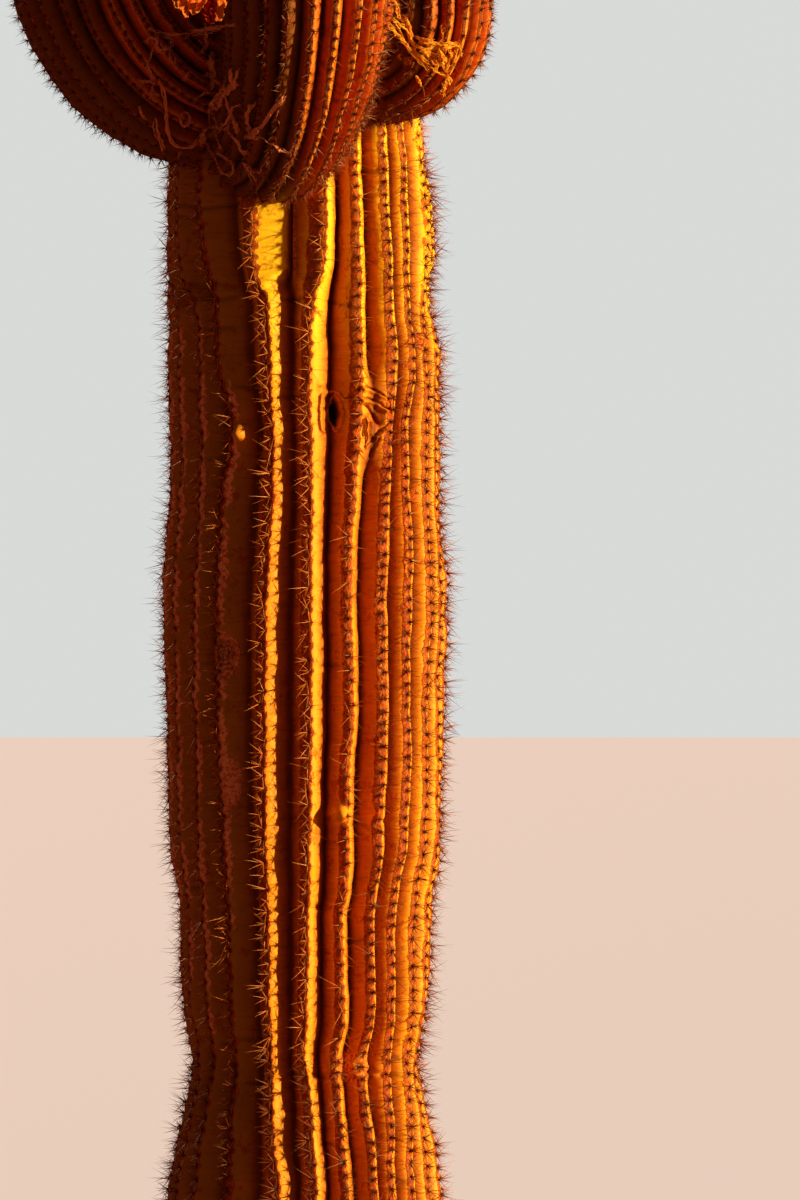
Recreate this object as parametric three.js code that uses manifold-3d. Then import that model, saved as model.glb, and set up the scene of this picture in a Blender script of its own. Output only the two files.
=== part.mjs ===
// A mature saguaro: one thick pleated trunk, cut flat at ground level, and four arms that
// leave it at 2.3 to 2.9 metres, turn up close to it and end in round tips.
// Millimetres, +Z up, origin in the middle of the flat cut. The plant is seen from -Y.
// A bearing is an angle round the trunk: 0 faces the viewer (-Y), 90 faces right (+X).
import * as THREE from "three";
import Module from "manifold-3d";

const wasm = await Module();
wasm.setup();

// Trunk: heights above the ground and the radius of the rib crests there. It narrows to a
// waist at 700 and is thickest at 1500.
const TRUNK_COLOUR = 0x95803c;
const TRUNK_HEIGHT = 5400;
const TRUNK_DOME = 200;
const TRUNK_STATIONS = [
  [0, 264],
  [70, 249],
  [260, 254],
  [450, 246],
  [592, 222],
  [699, 201],
  [806, 218],
  [984, 226],
  [1085, 241],
  [1240, 245],
  [1380, 251],
  [1520, 254],
  [1740, 246],
  [1900, 245],
  [2020, 238],
  [2160, 238],
  [2300, 233],
  [2600, 215],
  [3300, 221],
  [4300, 209],
  [5200, 189],
];

// How far the trunk's middle strays from the upright as it climbs, to the right and to the back.
const STRAY_RIGHT = [
  [0, 0],
  [1520, 0],
  [1740, 4],
  [1900, 0],
  [2090, -8],
  [2300, -9],
  [2900, 0],
  [4100, 13],
  [5400, -9],
];
const STRAY_BACK = [
  [0, 0],
  [900, 0],
  [1600, 7],
  [2400, 0],
  [3700, -12],
  [5400, 10],
];

// The ribs that face the viewer stand at these bearings, and the rest share what is left.
const FRONT_RIBS = [-72.5, -55.3, -37, -16.2, 0.8, 16, 31, 46, 60.5, 73, 86];
const BACK_RIB_COUNT = 12;
const TRUNK_RIB_DEPTH = 34;

// Near the ground the old ribs flatten.
const OLD_RIB_DEPTH = 20;
const OLD_RIB_HEIGHT = 900;

// The ribs right of the middle swing round as they climb.
const DRIFT_DEG = 8;
const DRIFT_BEARING = 25;
const DRIFT_REACH = 50;
const DRIFT_FROM = 1100;
const DRIFT_TO = 2150;

// The right flank swells and shrinks by its own few millimetres, with a shoulder at 1960.
const FLANK_STATIONS = [
  [1300, 0],
  [1377, -5],
  [1450, 0],
  [1540, 0],
  [1586, -3],
  [1630, -9],
  [1740, -11],
  [1800, -9],
  [1865, -6],
  [1935, -1],
  [1962, 3],
  [1990, 1],
  [2040, -9],
  [2080, -9],
  [2140, 0],
  [2214, -1],
  [2260, -7],
  [2336, -14],
  [2600, -6],
  [3000, 0],
];
const FLANK_RISES = [64, 84];
const FLANK_FADES = [100, 125];

// Arms. leaves: bearing and height at which the arm's axis comes out of the trunk.
// heading: the bearing it then runs to. out: how far it runs to its upright.
// bend: radius of the elbow's centre line. sway: how far the upright wanders sideways.
const LEAVING_RADIUS = 235;
const ARM_ROOT_DEPTH = 130;
const ARM_COLOUR = 0x8a7c3e;
const ARMS = [
  {
    name: "left_arm",
    leaves: { bearing: -58, height: 2432 },
    heading: -58,
    out: 190,
    bend: 240,
    radii: { root: 153, elbow: 161, full: 168, tip: 138 },
    top: 4420,
    sway: 12,
    ribs: 24,
  },
  {
    name: "front_arm",
    leaves: { bearing: -12, height: 2330 },
    heading: 14,
    out: 262,
    bend: 290,
    radii: { root: 118, elbow: 149, full: 153, tip: 126 },
    top: 4760,
    sway: 7,
    ribs: 22,
  },
  {
    name: "right_arm",
    leaves: { bearing: 27, height: 2435 },
    heading: 55,
    out: 150,
    bend: 100,
    radii: { root: 85, elbow: 100, full: 122, tip: 106 },
    top: 4080,
    sway: 4,
    ribs: 18,
  },
  {
    name: "back_arm",
    leaves: { bearing: 158, height: 2860 },
    heading: 150,
    out: 235,
    bend: 195,
    radii: { root: 102, elbow: 124, full: 138, tip: 116 },
    top: 4560,
    sway: 9,
    ribs: 19,
  },
];
const ARM_RIB_DEPTH = 0.16; // of the arm's radius
const ARM_DOME = 1.1; // of the tip's radius
const FULL_AFTER = 420; // along the arm from the end of the elbow to its full radius
const SWAY_AFTER = 300; // along the upright before it sways

// How far apart neighbouring solids stay, and how finely they are stepped.
const GAP = 0.5;
const LOW_STEP = 115;
const HIGH_STEP = 320;
const HIGH_FROM = 2500;
const ELBOW_STEPS = 7;
const ROOT_STEPS = 2;
const UPRIGHT_STEP = 330;
const DOME_ANGLES = [24, 46, 66, 82];

// A rib's flank bulges: it falls by this power of the way to the valley, with one point
// partway down on the trunk.
const FLANK_CURVE = 1.3;
const FLANK_POINT = 0.45;

const radians = THREE.MathUtils.degToRad;
const ease = THREE.MathUtils.smoothstep;

// The direction of a bearing, level with the ground.
function towards(bearing) {
  return new THREE.Vector3(Math.sin(radians(bearing)), -Math.cos(radians(bearing)), 0);
}

// A smooth curve through [position, value] pairs, with level ends.
function through(stations, at) {
  const last = stations.length - 1;
  if (at <= stations[0][0]) return stations[0][1];
  if (at >= stations[last][0]) return stations[last][1];
  const i = stations.findIndex(([position]) => position > at) - 1;
  const slope = (a, b) => (stations[b][1] - stations[a][1]) / (stations[b][0] - stations[a][0]);
  const tangent = (k) => {
    if (k === 0 || k === last) return 0;
    const before = slope(k - 1, k);
    const after = slope(k, k + 1);
    return before * after <= 0 ? 0 : (2 * before * after) / (before + after);
  };
  const width = stations[i + 1][0] - stations[i][0];
  const t = (at - stations[i][0]) / width;
  const [a, b] = [stations[i][1], stations[i + 1][1]];
  return (
    a * (1 + 2 * t) * (1 - t) ** 2 +
    b * t * t * (3 - 2 * t) +
    width * (tangent(i) * t * (1 - t) ** 2 - tangent(i + 1) * t * t * (1 - t))
  );
}

// How far below its crest a rib's flank lies, as a share of the rib's depth.
// share is 0 on the crest and 1 in the valley beside it.
function flankDrop(share) {
  return share ** FLANK_CURVE;
}

// One outline round a limb: points on each rib's crest, flanks and valley.
// crests are the ribs' angles in order, flanks the shares of the way to the valley.
function ribbedOutline({ crests, radius, depth, flanks, place }) {
  const points = [];
  crests.forEach((crest, i) => {
    const next = i + 1 < crests.length ? crests[i + 1] : crests[0] + 360;
    const half = (next - crest) / 2;
    const up = flanks.map((share) => [crest + half * share, share]);
    const down = flanks.slice(1).reverse().map((share) => [next - half * share, share]);
    for (const [angle, share] of [...up, [crest + half, 1], ...down]) {
      points.push(place(angle, radius(angle) - depth * flankDrop(share)));
    }
  });
  return points;
}

// A closed solid skinned over outlines of equal length, with a flat foot.
// It ends in one more point where tip is given, and otherwise in a flat cut.
function skin(outlines, tip) {
  const around = outlines[0].length;
  const middle = (outline) =>
    outline.reduce((sum, p) => sum.add(p), new THREE.Vector3()).divideScalar(around);
  const points = [...outlines.flat(), middle(outlines[0]), tip ?? middle(outlines.at(-1))];
  const [foot, head] = [points.length - 2, points.length - 1];
  const top = (outlines.length - 1) * around;
  const triangles = [];
  for (let i = 0; i < around; i++) {
    const j = (i + 1) % around;
    triangles.push([foot, j, i], [head, top + i, top + j]);
    for (let row = 0; row < top; row += around) {
      triangles.push([row + i, row + j, row + around + j]);
      triangles.push([row + i, row + around + j, row + around + i]);
    }
  }
  const vertProperties = new Float32Array(points.flatMap((p) => p.toArray()));
  const triVerts = new Uint32Array(triangles.flat());
  return new wasm.Manifold(new wasm.Mesh({ numProp: 3, vertProperties, triVerts }));
}

// The trunk's crests at one height: the ribs that face the viewer, then the rest.
function trunkCrests(height) {
  const first = FRONT_RIBS[0] + 360;
  const last = FRONT_RIBS.at(-1);
  const step = (first - last) / (BACK_RIB_COUNT + 1);
  const back = Array.from({ length: BACK_RIB_COUNT }, (_, i) => last + step * (i + 1));
  return [...FRONT_RIBS, ...back].map((bearing) => {
    const near = Math.max(0, 1 - ((bearing - DRIFT_BEARING) / DRIFT_REACH) ** 2);
    return bearing + DRIFT_DEG * near * ease(height, DRIFT_FROM, DRIFT_TO);
  });
}

function trunkRibDepth(height) {
  return THREE.MathUtils.lerp(OLD_RIB_DEPTH, TRUNK_RIB_DEPTH, ease(height, 0, OLD_RIB_HEIGHT));
}

// The middle of the trunk at one height.
function trunkMiddle(height) {
  return new THREE.Vector3(through(STRAY_RIGHT, height), through(STRAY_BACK, height), height);
}

// How far the right flank stands out at one bearing and height.
function flankSwell(bearing, height) {
  const near = ease(bearing, ...FLANK_RISES) * (1 - ease(bearing, ...FLANK_FADES));
  return through(FLANK_STATIONS, height) * near;
}

// The trunk, or one grown all over so that its neighbours can be cut clear of it.
function trunk(growth) {
  const domeFrom = TRUNK_HEIGHT - TRUNK_DOME;
  const levels = [];
  for (let z = 0; z < domeFrom; z += z < HIGH_FROM ? LOW_STEP : HIGH_STEP) levels.push([z, 1]);
  levels.push([domeFrom, 1]);
  for (const angle of DOME_ANGLES) {
    levels.push([domeFrom + TRUNK_DOME * Math.sin(radians(angle)), Math.cos(radians(angle))]);
  }
  const outlines = levels.map(([z, share]) =>
    ribbedOutline({
      crests: trunkCrests(z),
      radius: (bearing) =>
        (through(TRUNK_STATIONS, z) + flankSwell(bearing, z)) * share + growth,
      depth: trunkRibDepth(z) * share,
      flanks: [0, FLANK_POINT],
      place: (bearing, r) => trunkMiddle(z).addScaledVector(towards(bearing), r),
    }),
  );
  return skin(outlines, trunkMiddle(TRUNK_HEIGHT).setZ(TRUNK_HEIGHT + growth));
}

// An arm's centre line by distance from its root: level, then round the elbow, then upright.
function centreLine(arm) {
  const heading = towards(arm.heading);
  const leaves = towards(arm.leaves.bearing).multiplyScalar(LEAVING_RADIUS).setZ(arm.leaves.height);
  const root = leaves.clone().addScaledVector(heading, -ARM_ROOT_DEPTH);
  const level = ARM_ROOT_DEPTH + arm.out - arm.bend;
  const turned = level + (arm.bend * Math.PI) / 2;
  const upright = arm.top - arm.leaves.height - arm.bend;
  return {
    level,
    turned,
    length: turned + upright,
    at(distance) {
      const turn = THREE.MathUtils.clamp((distance - level) / arm.bend, 0, Math.PI / 2);
      const rise = Math.max(0, distance - turned);
      const along = Math.min(distance, level) + arm.bend * Math.sin(turn);
      const sideways = arm.sway * Math.sin((2 * Math.PI * rise) / upright) * ease(rise, 0, SWAY_AFTER);
      return root
        .clone()
        .addScaledVector(heading, along)
        .addScaledVector(towards(arm.heading + 90), sideways)
        .setZ(arm.leaves.height + arm.bend * (1 - Math.cos(turn)) + rise);
    },
    // The side of the arm that faces outwards and down, square to the centre line.
    outside(distance) {
      const turn = THREE.MathUtils.clamp((distance - level) / arm.bend, 0, Math.PI / 2);
      return heading.clone().multiplyScalar(Math.sin(turn)).setZ(-Math.cos(turn));
    },
  };
}

// One stretch of an arm, between two distances along its centre line. A stretch that
// reaches the arm's end is closed by its round tip.
function armStretch(arm, distances, growth = 0) {
  const line = centreLine(arm);
  const { root, elbow, full, tip } = arm.radii;
  const dome = tip * ARM_DOME;
  const stations = [
    [0, root],
    [ARM_ROOT_DEPTH, root],
    [line.turned, elbow],
    [line.turned + FULL_AFTER, full],
    [line.length - dome, tip],
  ];
  const side = towards(arm.heading + 90);
  const rows = distances.map((distance) => [distance, 1]);
  const tipped = distances.at(-1) >= line.length - dome;
  if (tipped) {
    for (const angle of DOME_ANGLES) {
      rows.push([line.length - dome + dome * Math.sin(radians(angle)), Math.cos(radians(angle))]);
    }
  }
  const crests = Array.from({ length: arm.ribs }, (_, i) => (360 * i) / arm.ribs);
  const outlines = rows.map(([distance, share]) => {
    const centre = line.at(distance);
    const outside = line.outside(distance);
    const crestRadius = through(stations, distance) * share;
    return ribbedOutline({
      crests,
      radius: () => crestRadius + growth,
      depth: crestRadius * ARM_RIB_DEPTH,
      flanks: [0],
      place: (angle, r) =>
        centre
          .clone()
          .addScaledVector(outside, r * Math.cos(radians(angle)))
          .addScaledVector(side, r * Math.sin(radians(angle))),
    });
  });
  return skin(outlines, tipped ? line.at(line.length) : undefined);
}

// Even steps from one distance to another, both included.
function steps(from, to, count) {
  return Array.from({ length: count + 1 }, (_, i) => from + ((to - from) * i) / count);
}

// The distances at which an arm's elbow and its upright are stepped.
function armSteps(arm) {
  const line = centreLine(arm);
  const uprightTop = line.length - arm.radii.tip * ARM_DOME;
  const count = Math.round((uprightTop - line.turned) / UPRIGHT_STEP);
  const root = steps(0, line.level, ROOT_STEPS);
  const bend = steps(line.level, line.turned, ELBOW_STEPS);
  return {
    elbow: [...root, ...bend.slice(1)],
    upright: steps(line.turned + GAP, uprightTop, count),
  };
}

// The largest piece of a cut solid. Where two ribbed stems cross at a slant, the cut
// also leaves splinters in the valleys between ribs.
function largestPiece(solid) {
  return solid.decompose().sort((a, b) => b.volume() - a.volume())[0];
}

function meshOf(solid, name, colour) {
  const { numProp, vertProperties, triVerts } = solid.getMesh();
  const geometry = new THREE.BufferGeometry();
  const positions = new Float32Array(vertProperties);
  geometry.setAttribute("position", new THREE.BufferAttribute(positions, numProp));
  geometry.setIndex(new THREE.BufferAttribute(new Uint32Array(triVerts), 1));
  geometry.computeVertexNormals();
  const material = new THREE.MeshStandardMaterial({ color: colour, roughness: 0.62, metalness: 0 });
  const mesh = new THREE.Mesh(geometry, material);
  mesh.name = name;
  return mesh;
}

const saguaro = new THREE.Group();
saguaro.add(meshOf(trunk(0), "trunk", TRUNK_COLOUR));

// Each elbow is cut clear of the trunk and of the elbows before it, as stems press together.
let taken = trunk(GAP);
for (const arm of ARMS) {
  const { elbow, upright } = armSteps(arm);
  const cut = largestPiece(armStretch(arm, elbow).subtract(taken));
  saguaro.add(meshOf(cut, `${arm.name}_elbow`, ARM_COLOUR));
  saguaro.add(meshOf(armStretch(arm, upright), `${arm.name}_upright`, ARM_COLOUR));
  taken = taken.add(armStretch(arm, elbow, GAP));
}

export default saguaro;
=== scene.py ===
# %% [markdown]
# A saguaro, pleat by pleat.
# A saguaro is a water tank with pleats: its skin folds into ribs that open and close as it drinks.
# Along the crest of each rib stand areoles, small felt pads, and each pad carries a star of spines.
# So the whole plant follows one rule: a stem, its ribs, its areoles, its spines. This script writes
# that rule once and uses it for the trunk and for all four arms.
#
# Everything is in metres. The ground is z = 0 and the trunk's foot is at the origin. A bearing is an
# angle round the trunk in degrees: 0 faces the viewer (-Y) and 90 faces right (+X).

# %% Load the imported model
import bpy
import numpy as np
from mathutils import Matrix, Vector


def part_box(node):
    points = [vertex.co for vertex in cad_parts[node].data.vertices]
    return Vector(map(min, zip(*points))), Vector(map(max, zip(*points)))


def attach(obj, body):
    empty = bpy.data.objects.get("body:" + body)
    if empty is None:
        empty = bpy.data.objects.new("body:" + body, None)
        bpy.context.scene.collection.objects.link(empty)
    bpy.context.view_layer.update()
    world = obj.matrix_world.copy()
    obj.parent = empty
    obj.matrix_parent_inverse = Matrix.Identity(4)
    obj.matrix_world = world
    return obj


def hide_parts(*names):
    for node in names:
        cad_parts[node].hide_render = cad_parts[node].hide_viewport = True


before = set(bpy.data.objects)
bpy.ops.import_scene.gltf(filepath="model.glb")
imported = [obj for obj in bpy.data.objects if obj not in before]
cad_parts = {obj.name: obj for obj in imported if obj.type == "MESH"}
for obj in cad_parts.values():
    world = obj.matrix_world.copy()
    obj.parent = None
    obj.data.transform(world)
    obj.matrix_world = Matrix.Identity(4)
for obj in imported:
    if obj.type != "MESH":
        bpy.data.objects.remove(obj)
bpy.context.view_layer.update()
BODY = "root"

# %% [markdown]
# The camera comes first, because the fine detail goes where it looks. It stands about 12 m off at
# chest height with a long lens, so the trunk's pleats stay nearly parallel, and it sees the plant
# from its waist to the bends of its arms. The crown is above the picture's edge.

# %% Camera
LENS_MM = 200.6
SENSOR_MM = 36
CAMERA_AT = (0.169, -11.9, 1.376)
CAMERA_PITCH_DEG = 0.69
PICTURE_WIDTH, PICTURE_HEIGHT = 800, 1200

camera_data = bpy.data.cameras.new("camera")
camera_data.lens = LENS_MM
camera_data.sensor_width = SENSOR_MM
camera_data.clip_end = 500
camera = bpy.data.objects.new("camera", camera_data)
camera.location = CAMERA_AT
camera.rotation_euler = (np.radians(90 + CAMERA_PITCH_DEG), 0, 0)
bpy.context.collection.objects.link(camera)
bpy.context.scene.camera = camera


def sight(x, y):
    """The direction in which the camera sees a point of the 800 by 1200 picture."""
    focal = LENS_MM / SENSOR_MM * PICTURE_HEIGHT
    right, up = (x - PICTURE_WIDTH / 2) / focal, (PICTURE_HEIGHT / 2 - y) / focal
    pitch = np.radians(CAMERA_PITCH_DEG)
    forward, rise = np.cos(pitch) - up * np.sin(pitch), np.sin(pitch) + up * np.cos(pitch)
    return np.array([right, forward, rise])


print("camera at", CAMERA_AT, "lens", LENS_MM)

# %% [markdown]
# Growth isn't random, but it isn't even either. Five helpers give that: a smooth step, a smooth
# curve through a few measured places, a fixed chance for each key, a ripple, which is a sum of three
# waves whose phases come from a key, and a hump. The same key always gives the same ripple, so
# neighbouring meshes agree on their seam.

# %% Steps, curves and ripples
def ease(at, start, end):
    """0 before start, 1 after end, and a smooth step between them."""
    t = np.clip((at - start) / (end - start), 0, 1)
    return t * t * (3 - 2 * t)


def through(stations, at):
    """A smooth curve through (place, value) pairs, with level ends."""
    places, values = np.array(stations, dtype=float).T
    widths = np.diff(places)
    slopes = np.diff(values) / widths
    before, after = slopes[:-1], slopes[1:]
    same_way = before * after > 0
    tangents = np.zeros(len(places))
    tangents[1:-1] = np.where(same_way, 2 * before * after / np.where(same_way, before + after, 1), 0)
    at = np.clip(at, places[0], places[-1])
    i = np.clip(np.searchsorted(places, at, side="right") - 1, 0, len(widths) - 1)
    t = (at - places[i]) / widths[i]
    ends = values[i] * (1 + 2 * t) * (1 - t) ** 2 + values[i + 1] * t * t * (3 - 2 * t)
    return ends + widths[i] * (tangents[i] * t * (1 - t) ** 2 - tangents[i + 1] * t * t * (1 - t))


def chance(key, turn=0):
    """A fixed number from 0 to 1 for each key, spread as if at random."""
    return np.sin(key * 12.9898 + turn * 78.233) * 43758.5453 % 1


def ripple(at, length, key):
    """A smooth value between -1 and 1 that wanders along at, in swings about length apart."""
    waves = ((1, 0.55), (2.3, 0.3), (4.9, 0.15))
    return sum(size * np.sin(2 * np.pi * (at * n / length + chance(key, n))) for n, size in waves)


def hump(distance, reach):
    """1 in the middle, falling smoothly to nothing at about twice the reach."""
    return np.exp(-((distance / reach) ** 2))


print("ripple at 0, 0.1 and 0.2:", ripple(np.array([0, 0.1, 0.2]), 0.5, 7).round(2))

# %% [markdown]
# What is a stem? A centre line, a radius, and ribs round it. A rib number that is whole is a crest
# and a half is the valley between two crests, so the skin is one function of two numbers: how far
# along the stem, and which rib. Relief goes on top of the pleats: a bead under each areole, slow
# swells, and creases where the skin folds across a valley as the ribs close.

# %% The rule for a pleated stem
# Widths that end in SHARE are in half ribs, and lengths are in metres along the stem.
CREST_ROUNDNESS = 0.28
BULGE_POWER = 2.6
BEAD_WIDTH_SHARE = 0.36
BEAD_SHARPNESS = 1.4
BEAD_LEAST = 0.3
BEAD_SPREAD = 1.4
LUMP_HEIGHT = 0.0022
LUMP_LENGTH = 0.10
LUMP_WIDTH_SHARE = 0.5
SWELL = 0.0028
SWELL_LENGTH = 0.4
CREASE_DEPTH = 0.0028
CREASE_HALF_WIDTH = 0.0036
CREASE_BOW = 0.010
CREASE_CELL = 0.17
CREASE_CHANCE = 0.3
CREASE_ENDS = (0.2, 0.6)
CREASE_SHADE = 0.6
AREOLE_STRAY = 0.16
AREOLE_STRAY_LENGTH = 0.13
AREOLE_REACH = 0.0038
AREOLE_WIDTH_SHARE = 0.13
CORK_AND_SHADE_SOFTNESS = 0.12
COUNTING_PLACES = 400
# Relief fades out over the tip, where the cap is less than a third of the full radius.
RELIEF_PER_CAP = 3
# Above these heights the hide has its painted sunlit colours on every side.
PAINTED_SUNLIT_FROM = (2.64, 3.1)

# A skin is asked for in layers: all of it, the coarse sheet under the fine patches, or one patch.
WHOLE = "whole"
COARSE = "coarse"


class Stem:
    """A pleated stem with a round tip. Its subclasses say where its ribs run and how thick it is."""

    def cap(self, along):
        """Place on the axis, and the share of the full radius, which shrinks over the tip."""
        turn = np.clip((along - self.straight) / self.dome, 0, np.pi / 2)
        return np.minimum(along, self.straight) + self.dome * np.sin(turn), np.cos(turn)

    def phase(self, along, crest):
        """Counts areoles up a rib: one stands wherever this is a whole number."""
        even = np.interp(along, self.phase_places, self.phase_counts)
        stray = ripple(along, AREOLE_STRAY_LENGTH, crest + self.seed)
        return even + chance(crest, self.seed) + AREOLE_STRAY * stray

    def count_areoles(self, spacing):
        """Prepares phase() from the spacing of areoles at each place along the stem."""
        self.phase_places = np.linspace(0, self.length, COUNTING_PLACES)
        steps = np.diff(self.phase_places) / through(spacing, self.phase_places[1:])
        self.phase_counts = np.concatenate([[0], np.cumsum(steps)])

    def pleat(self, share, full):
        """How far down the pleat the skin is: 0 on the crest and 1 in the valley."""
        a = CREST_ROUNDNESS
        sharp = (np.sqrt(share**2 + a**2) - a) / (np.sqrt(1 + a**2) - a)
        return sharp * (1 - full) + share**BULGE_POWER * full

    def creases(self, along, rib, share):
        """Folds that cross the valleys, at their own heights in each."""
        valley = np.floor(rib)
        bow = CREASE_BOW * (1 - share) ** 2
        total = 0
        for step in (-1, 0, 1):
            cell = np.floor(along / CREASE_CELL) + step
            key = cell * 31 + valley % self.ribs + self.seed
            here = chance(key, 1) < CREASE_CHANCE
            middle = (cell + chance(key, 2)) * CREASE_CELL + bow * (chance(key, 3) - 0.5) * 2
            total = total + here * hump(along - middle, CREASE_HALF_WIDTH) * (0.5 + 0.5 * chance(key, 4))
        return np.clip(total, 0, 1) * ease(share, *CREASE_ENDS)

    def swells(self, along, rib):
        """Slow swells of each rib's flanks, which blend from one rib into the next."""
        this_key = np.floor(rib) % self.ribs + self.seed
        next_key = (np.floor(rib) + 1) % self.ribs + self.seed
        toward_next = ease(rib - np.floor(rib), 0, 1)
        this, following = ripple(along, SWELL_LENGTH, this_key), ripple(along, SWELL_LENGTH, next_key)
        return SWELL * (this * (1 - toward_next) + following * toward_next)

    def forms(self, along, rib, share, layer):
        """What only one stem has: share with flats put in, push outwards, cork, painted shade, bare skin."""
        nothing = np.zeros(np.broadcast(along, rib).shape)
        return share, 0.0, nothing, nothing, nothing

    def skin(self, along, rib, layer=WHOLE):
        """Points of the skin, with the marks that its colours follow."""
        along, rib = np.broadcast_arrays(along, rib)
        crest = np.round(rib)
        lateral = 2 * np.abs(rib - crest)
        from_pads = 2 * (rib - crest - self.pad_side(crest))
        share, push, scar, dark, bare = self.forms(along, rib, lateral, layer)
        axis, cap = self.cap(along)
        key = crest % self.ribs + self.seed
        phase = self.phase(along, crest % self.ribs)
        bead = (0.5 + 0.5 * np.cos(2 * np.pi * phase)) ** BEAD_SHARPNESS
        crease = self.creases(along, rib, share)
        vigour = BEAD_LEAST + BEAD_SPREAD * chance(np.round(phase), key)
        relief = self.bead_height * bead * hump(lateral, BEAD_WIDTH_SHARE) * vigour
        lumps = ripple(along, LUMP_LENGTH, key + 60) * hump(lateral, LUMP_WIDTH_SHARE)
        relief = relief + LUMP_HEIGHT * lumps
        relief = relief - CREASE_DEPTH * crease + push + self.swells(along, rib)
        radius = self.radius(axis, rib) * cap + relief * np.minimum(1, cap * RELIEF_PER_CAP)
        radius = radius - self.depth(axis, rib) * cap * self.pleat(share, self.fullness(axis, rib))
        points = self.place(axis, rib, radius)
        from_areole = np.abs(phase - np.round(phase)) * through(self.spacing, along)
        near_pad = hump(from_areole, AREOLE_REACH) * hump(from_pads, AREOLE_WIDTH_SHARE)
        marks = {
            "crest": 1 - share,
            "areole": near_pad * (1 - bare),
            # The red beside the areoles is partly cork and partly painted shade on each crest's left side.
            "cork_and_shade": self.cork_and_shade(from_pads, bead) * self.cork_and_shade_share(axis, rib) * (1 - bare),
            # The next mark is where the hide has painted sunlit colours; where it is low, painted shade
            # colours.
            "painted_sunlit": self.painted_sunlit(axis, rib),
            "fresh": self.fresh(axis, rib),
            # The crease mark carries painted shade in creases, slits, the hollow and the swirl.
            "crease": np.clip(CREASE_SHADE * crease + dark, 0, 1),
            "scar": scar,
            "side": 2 * (rib - crest),
        }
        return points, marks

    def pad_side(self, crest):
        """How far beside the crest the areoles stand, in ribs."""
        return 0.0 * crest

    def cork_and_shade_share(self, along, rib):
        """How much of the red cork, and of its painted shade, there is."""
        return 1.0

    def fresh(self, along, rib):
        """Where the hide is young at any height."""
        return 0.0 * along * rib

    def cork_and_shade(self, from_pads, bead):
        """Red cork beside the areoles, which is partly painted shade on the left of each crest. Its right
        edge swings out round each of them.
        """
        left, right, swing = self.cork_and_shade_edges
        starts = ease(from_pads, left - CORK_AND_SHADE_SOFTNESS, left + CORK_AND_SHADE_SOFTNESS)
        ends = ease(from_pads, right + swing * bead, right + CORK_AND_SHADE_SOFTNESS + swing * bead)
        return starts * (1 - ends)


def towards(bearing):
    """The level direction of a bearing."""
    angle = np.radians(bearing)
    return np.stack([np.sin(angle), -np.cos(angle), np.zeros_like(angle)], axis=-1)


# %% [markdown]
# The trunk repeats the CAD rule: a radius for each height, a slight stray from the upright, and a
# right flank that leaves the round by a few millimetres. The CAD ribs stand at fixed bearings. Here
# the ribs that face the viewer follow the real courses, which wander, crowd together under the arms
# and jump sideways at 2.07 m, where the plant had a setback in one dry year. The other ribs share
# what is left.

# %% The trunk's measures
TRUNK_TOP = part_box("trunk")[1].z
TRUNK_DOME = 0.2
TRUNK_RADII = [
    (0, 0.264), (0.07, 0.249), (0.26, 0.254), (0.45, 0.246), (0.592, 0.222), (0.699, 0.201),
    (0.806, 0.218), (0.984, 0.226), (1.085, 0.241), (1.24, 0.245), (1.38, 0.251), (1.52, 0.254),
    (1.74, 0.246), (1.9, 0.245), (2.02, 0.238), (2.16, 0.238), (2.3, 0.233), (2.6, 0.215),
    (3.3, 0.221), (4.3, 0.209), (5.2, 0.189),
]
STRAY_RIGHT = [
    (0, 0), (1.52, 0), (1.74, 0.004), (1.9, 0), (2.09, -0.008), (2.3, -0.009), (2.9, 0),
    (4.1, 0.013), (5.4, -0.009),
]
STRAY_BACK = [(0, 0), (0.9, 0), (1.6, 0.007), (2.4, 0), (3.7, -0.012), (5.4, 0.01)]

RIBS_ROUND_TRUNK = 23
USUAL_RADIUS = 0.24
METRES_PER_DEGREE = np.radians(1) * USUAL_RADIUS
# The bearing of each rib that faces the viewer, at some heights.
RIB_COURSES = [
    [(0.5, -79), (2.03, -78), (2.12, -86)],
    [(0.5, -66), (2.02, -64), (2.1, -76)],
    [(0.5, -52), (1.69, -48.5), (1.85, -48), (2.04, -50.5), (2.09, -61), (2.22, -66)],
    [(0.48, -32), (0.7, -36), (1.1, -35), (1.24, -37), (1.7, -36), (1.82, -30), (1.95, -38),
     (2.06, -38.5), (2.1, -42.5), (2.26, -48)],
    [(0.48, -10), (0.57, -13.4), (0.72, -16), (1.24, -16), (1.81, -13.3), (2.04, -13.6),
     (2.075, -18.5), (2.2, -19.7)],
    [(0.48, 5.4), (0.68, 2.3), (0.72, 0.2), (0.8, 1.5), (1.41, 3.2), (1.87, 2.2), (1.97, 3.8),
     (2.06, 7), (2.11, 11.4), (2.23, 11.9)],
    [(0.48, 18), (0.71, 16.5), (0.78, 18.5), (0.96, 17), (1.01, 18.7), (1.17, 18), (1.31, 19.9),
     (1.55, 18), (1.69, 19.8), (2.11, 26.2), (2.23, 25.2)],
    [(0.48, 31.5), (0.7, 31), (0.78, 34), (0.96, 31.7), (1.01, 33.5), (1.34, 34.4), (1.52, 33.3),
     (1.69, 34.8), (2, 42.1), (2.24, 40.4)],
    [(0.47, 40), (0.71, 47), (0.94, 44), (1.24, 49), (1.43, 45.5), (1.62, 47.6), (1.8, 44.6),
     (1.97, 54), (2.24, 51.5)],
    [(0.47, 52), (0.71, 64), (0.99, 59.5), (1.24, 63), (1.34, 59.3), (1.57, 61.5), (1.73, 59),
     (2.05, 66.6), (2.14, 72), (2.3, 67)],
    [(0.47, 66), (0.75, 77.5), (1.18, 76.5), (1.43, 71), (1.87, 71.5), (2.1, 82), (2.3, 80)],
    [(0.47, 80), (0.75, 91), (1.18, 89), (1.43, 84.5), (1.87, 85.5), (2.1, 94)],
]
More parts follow.
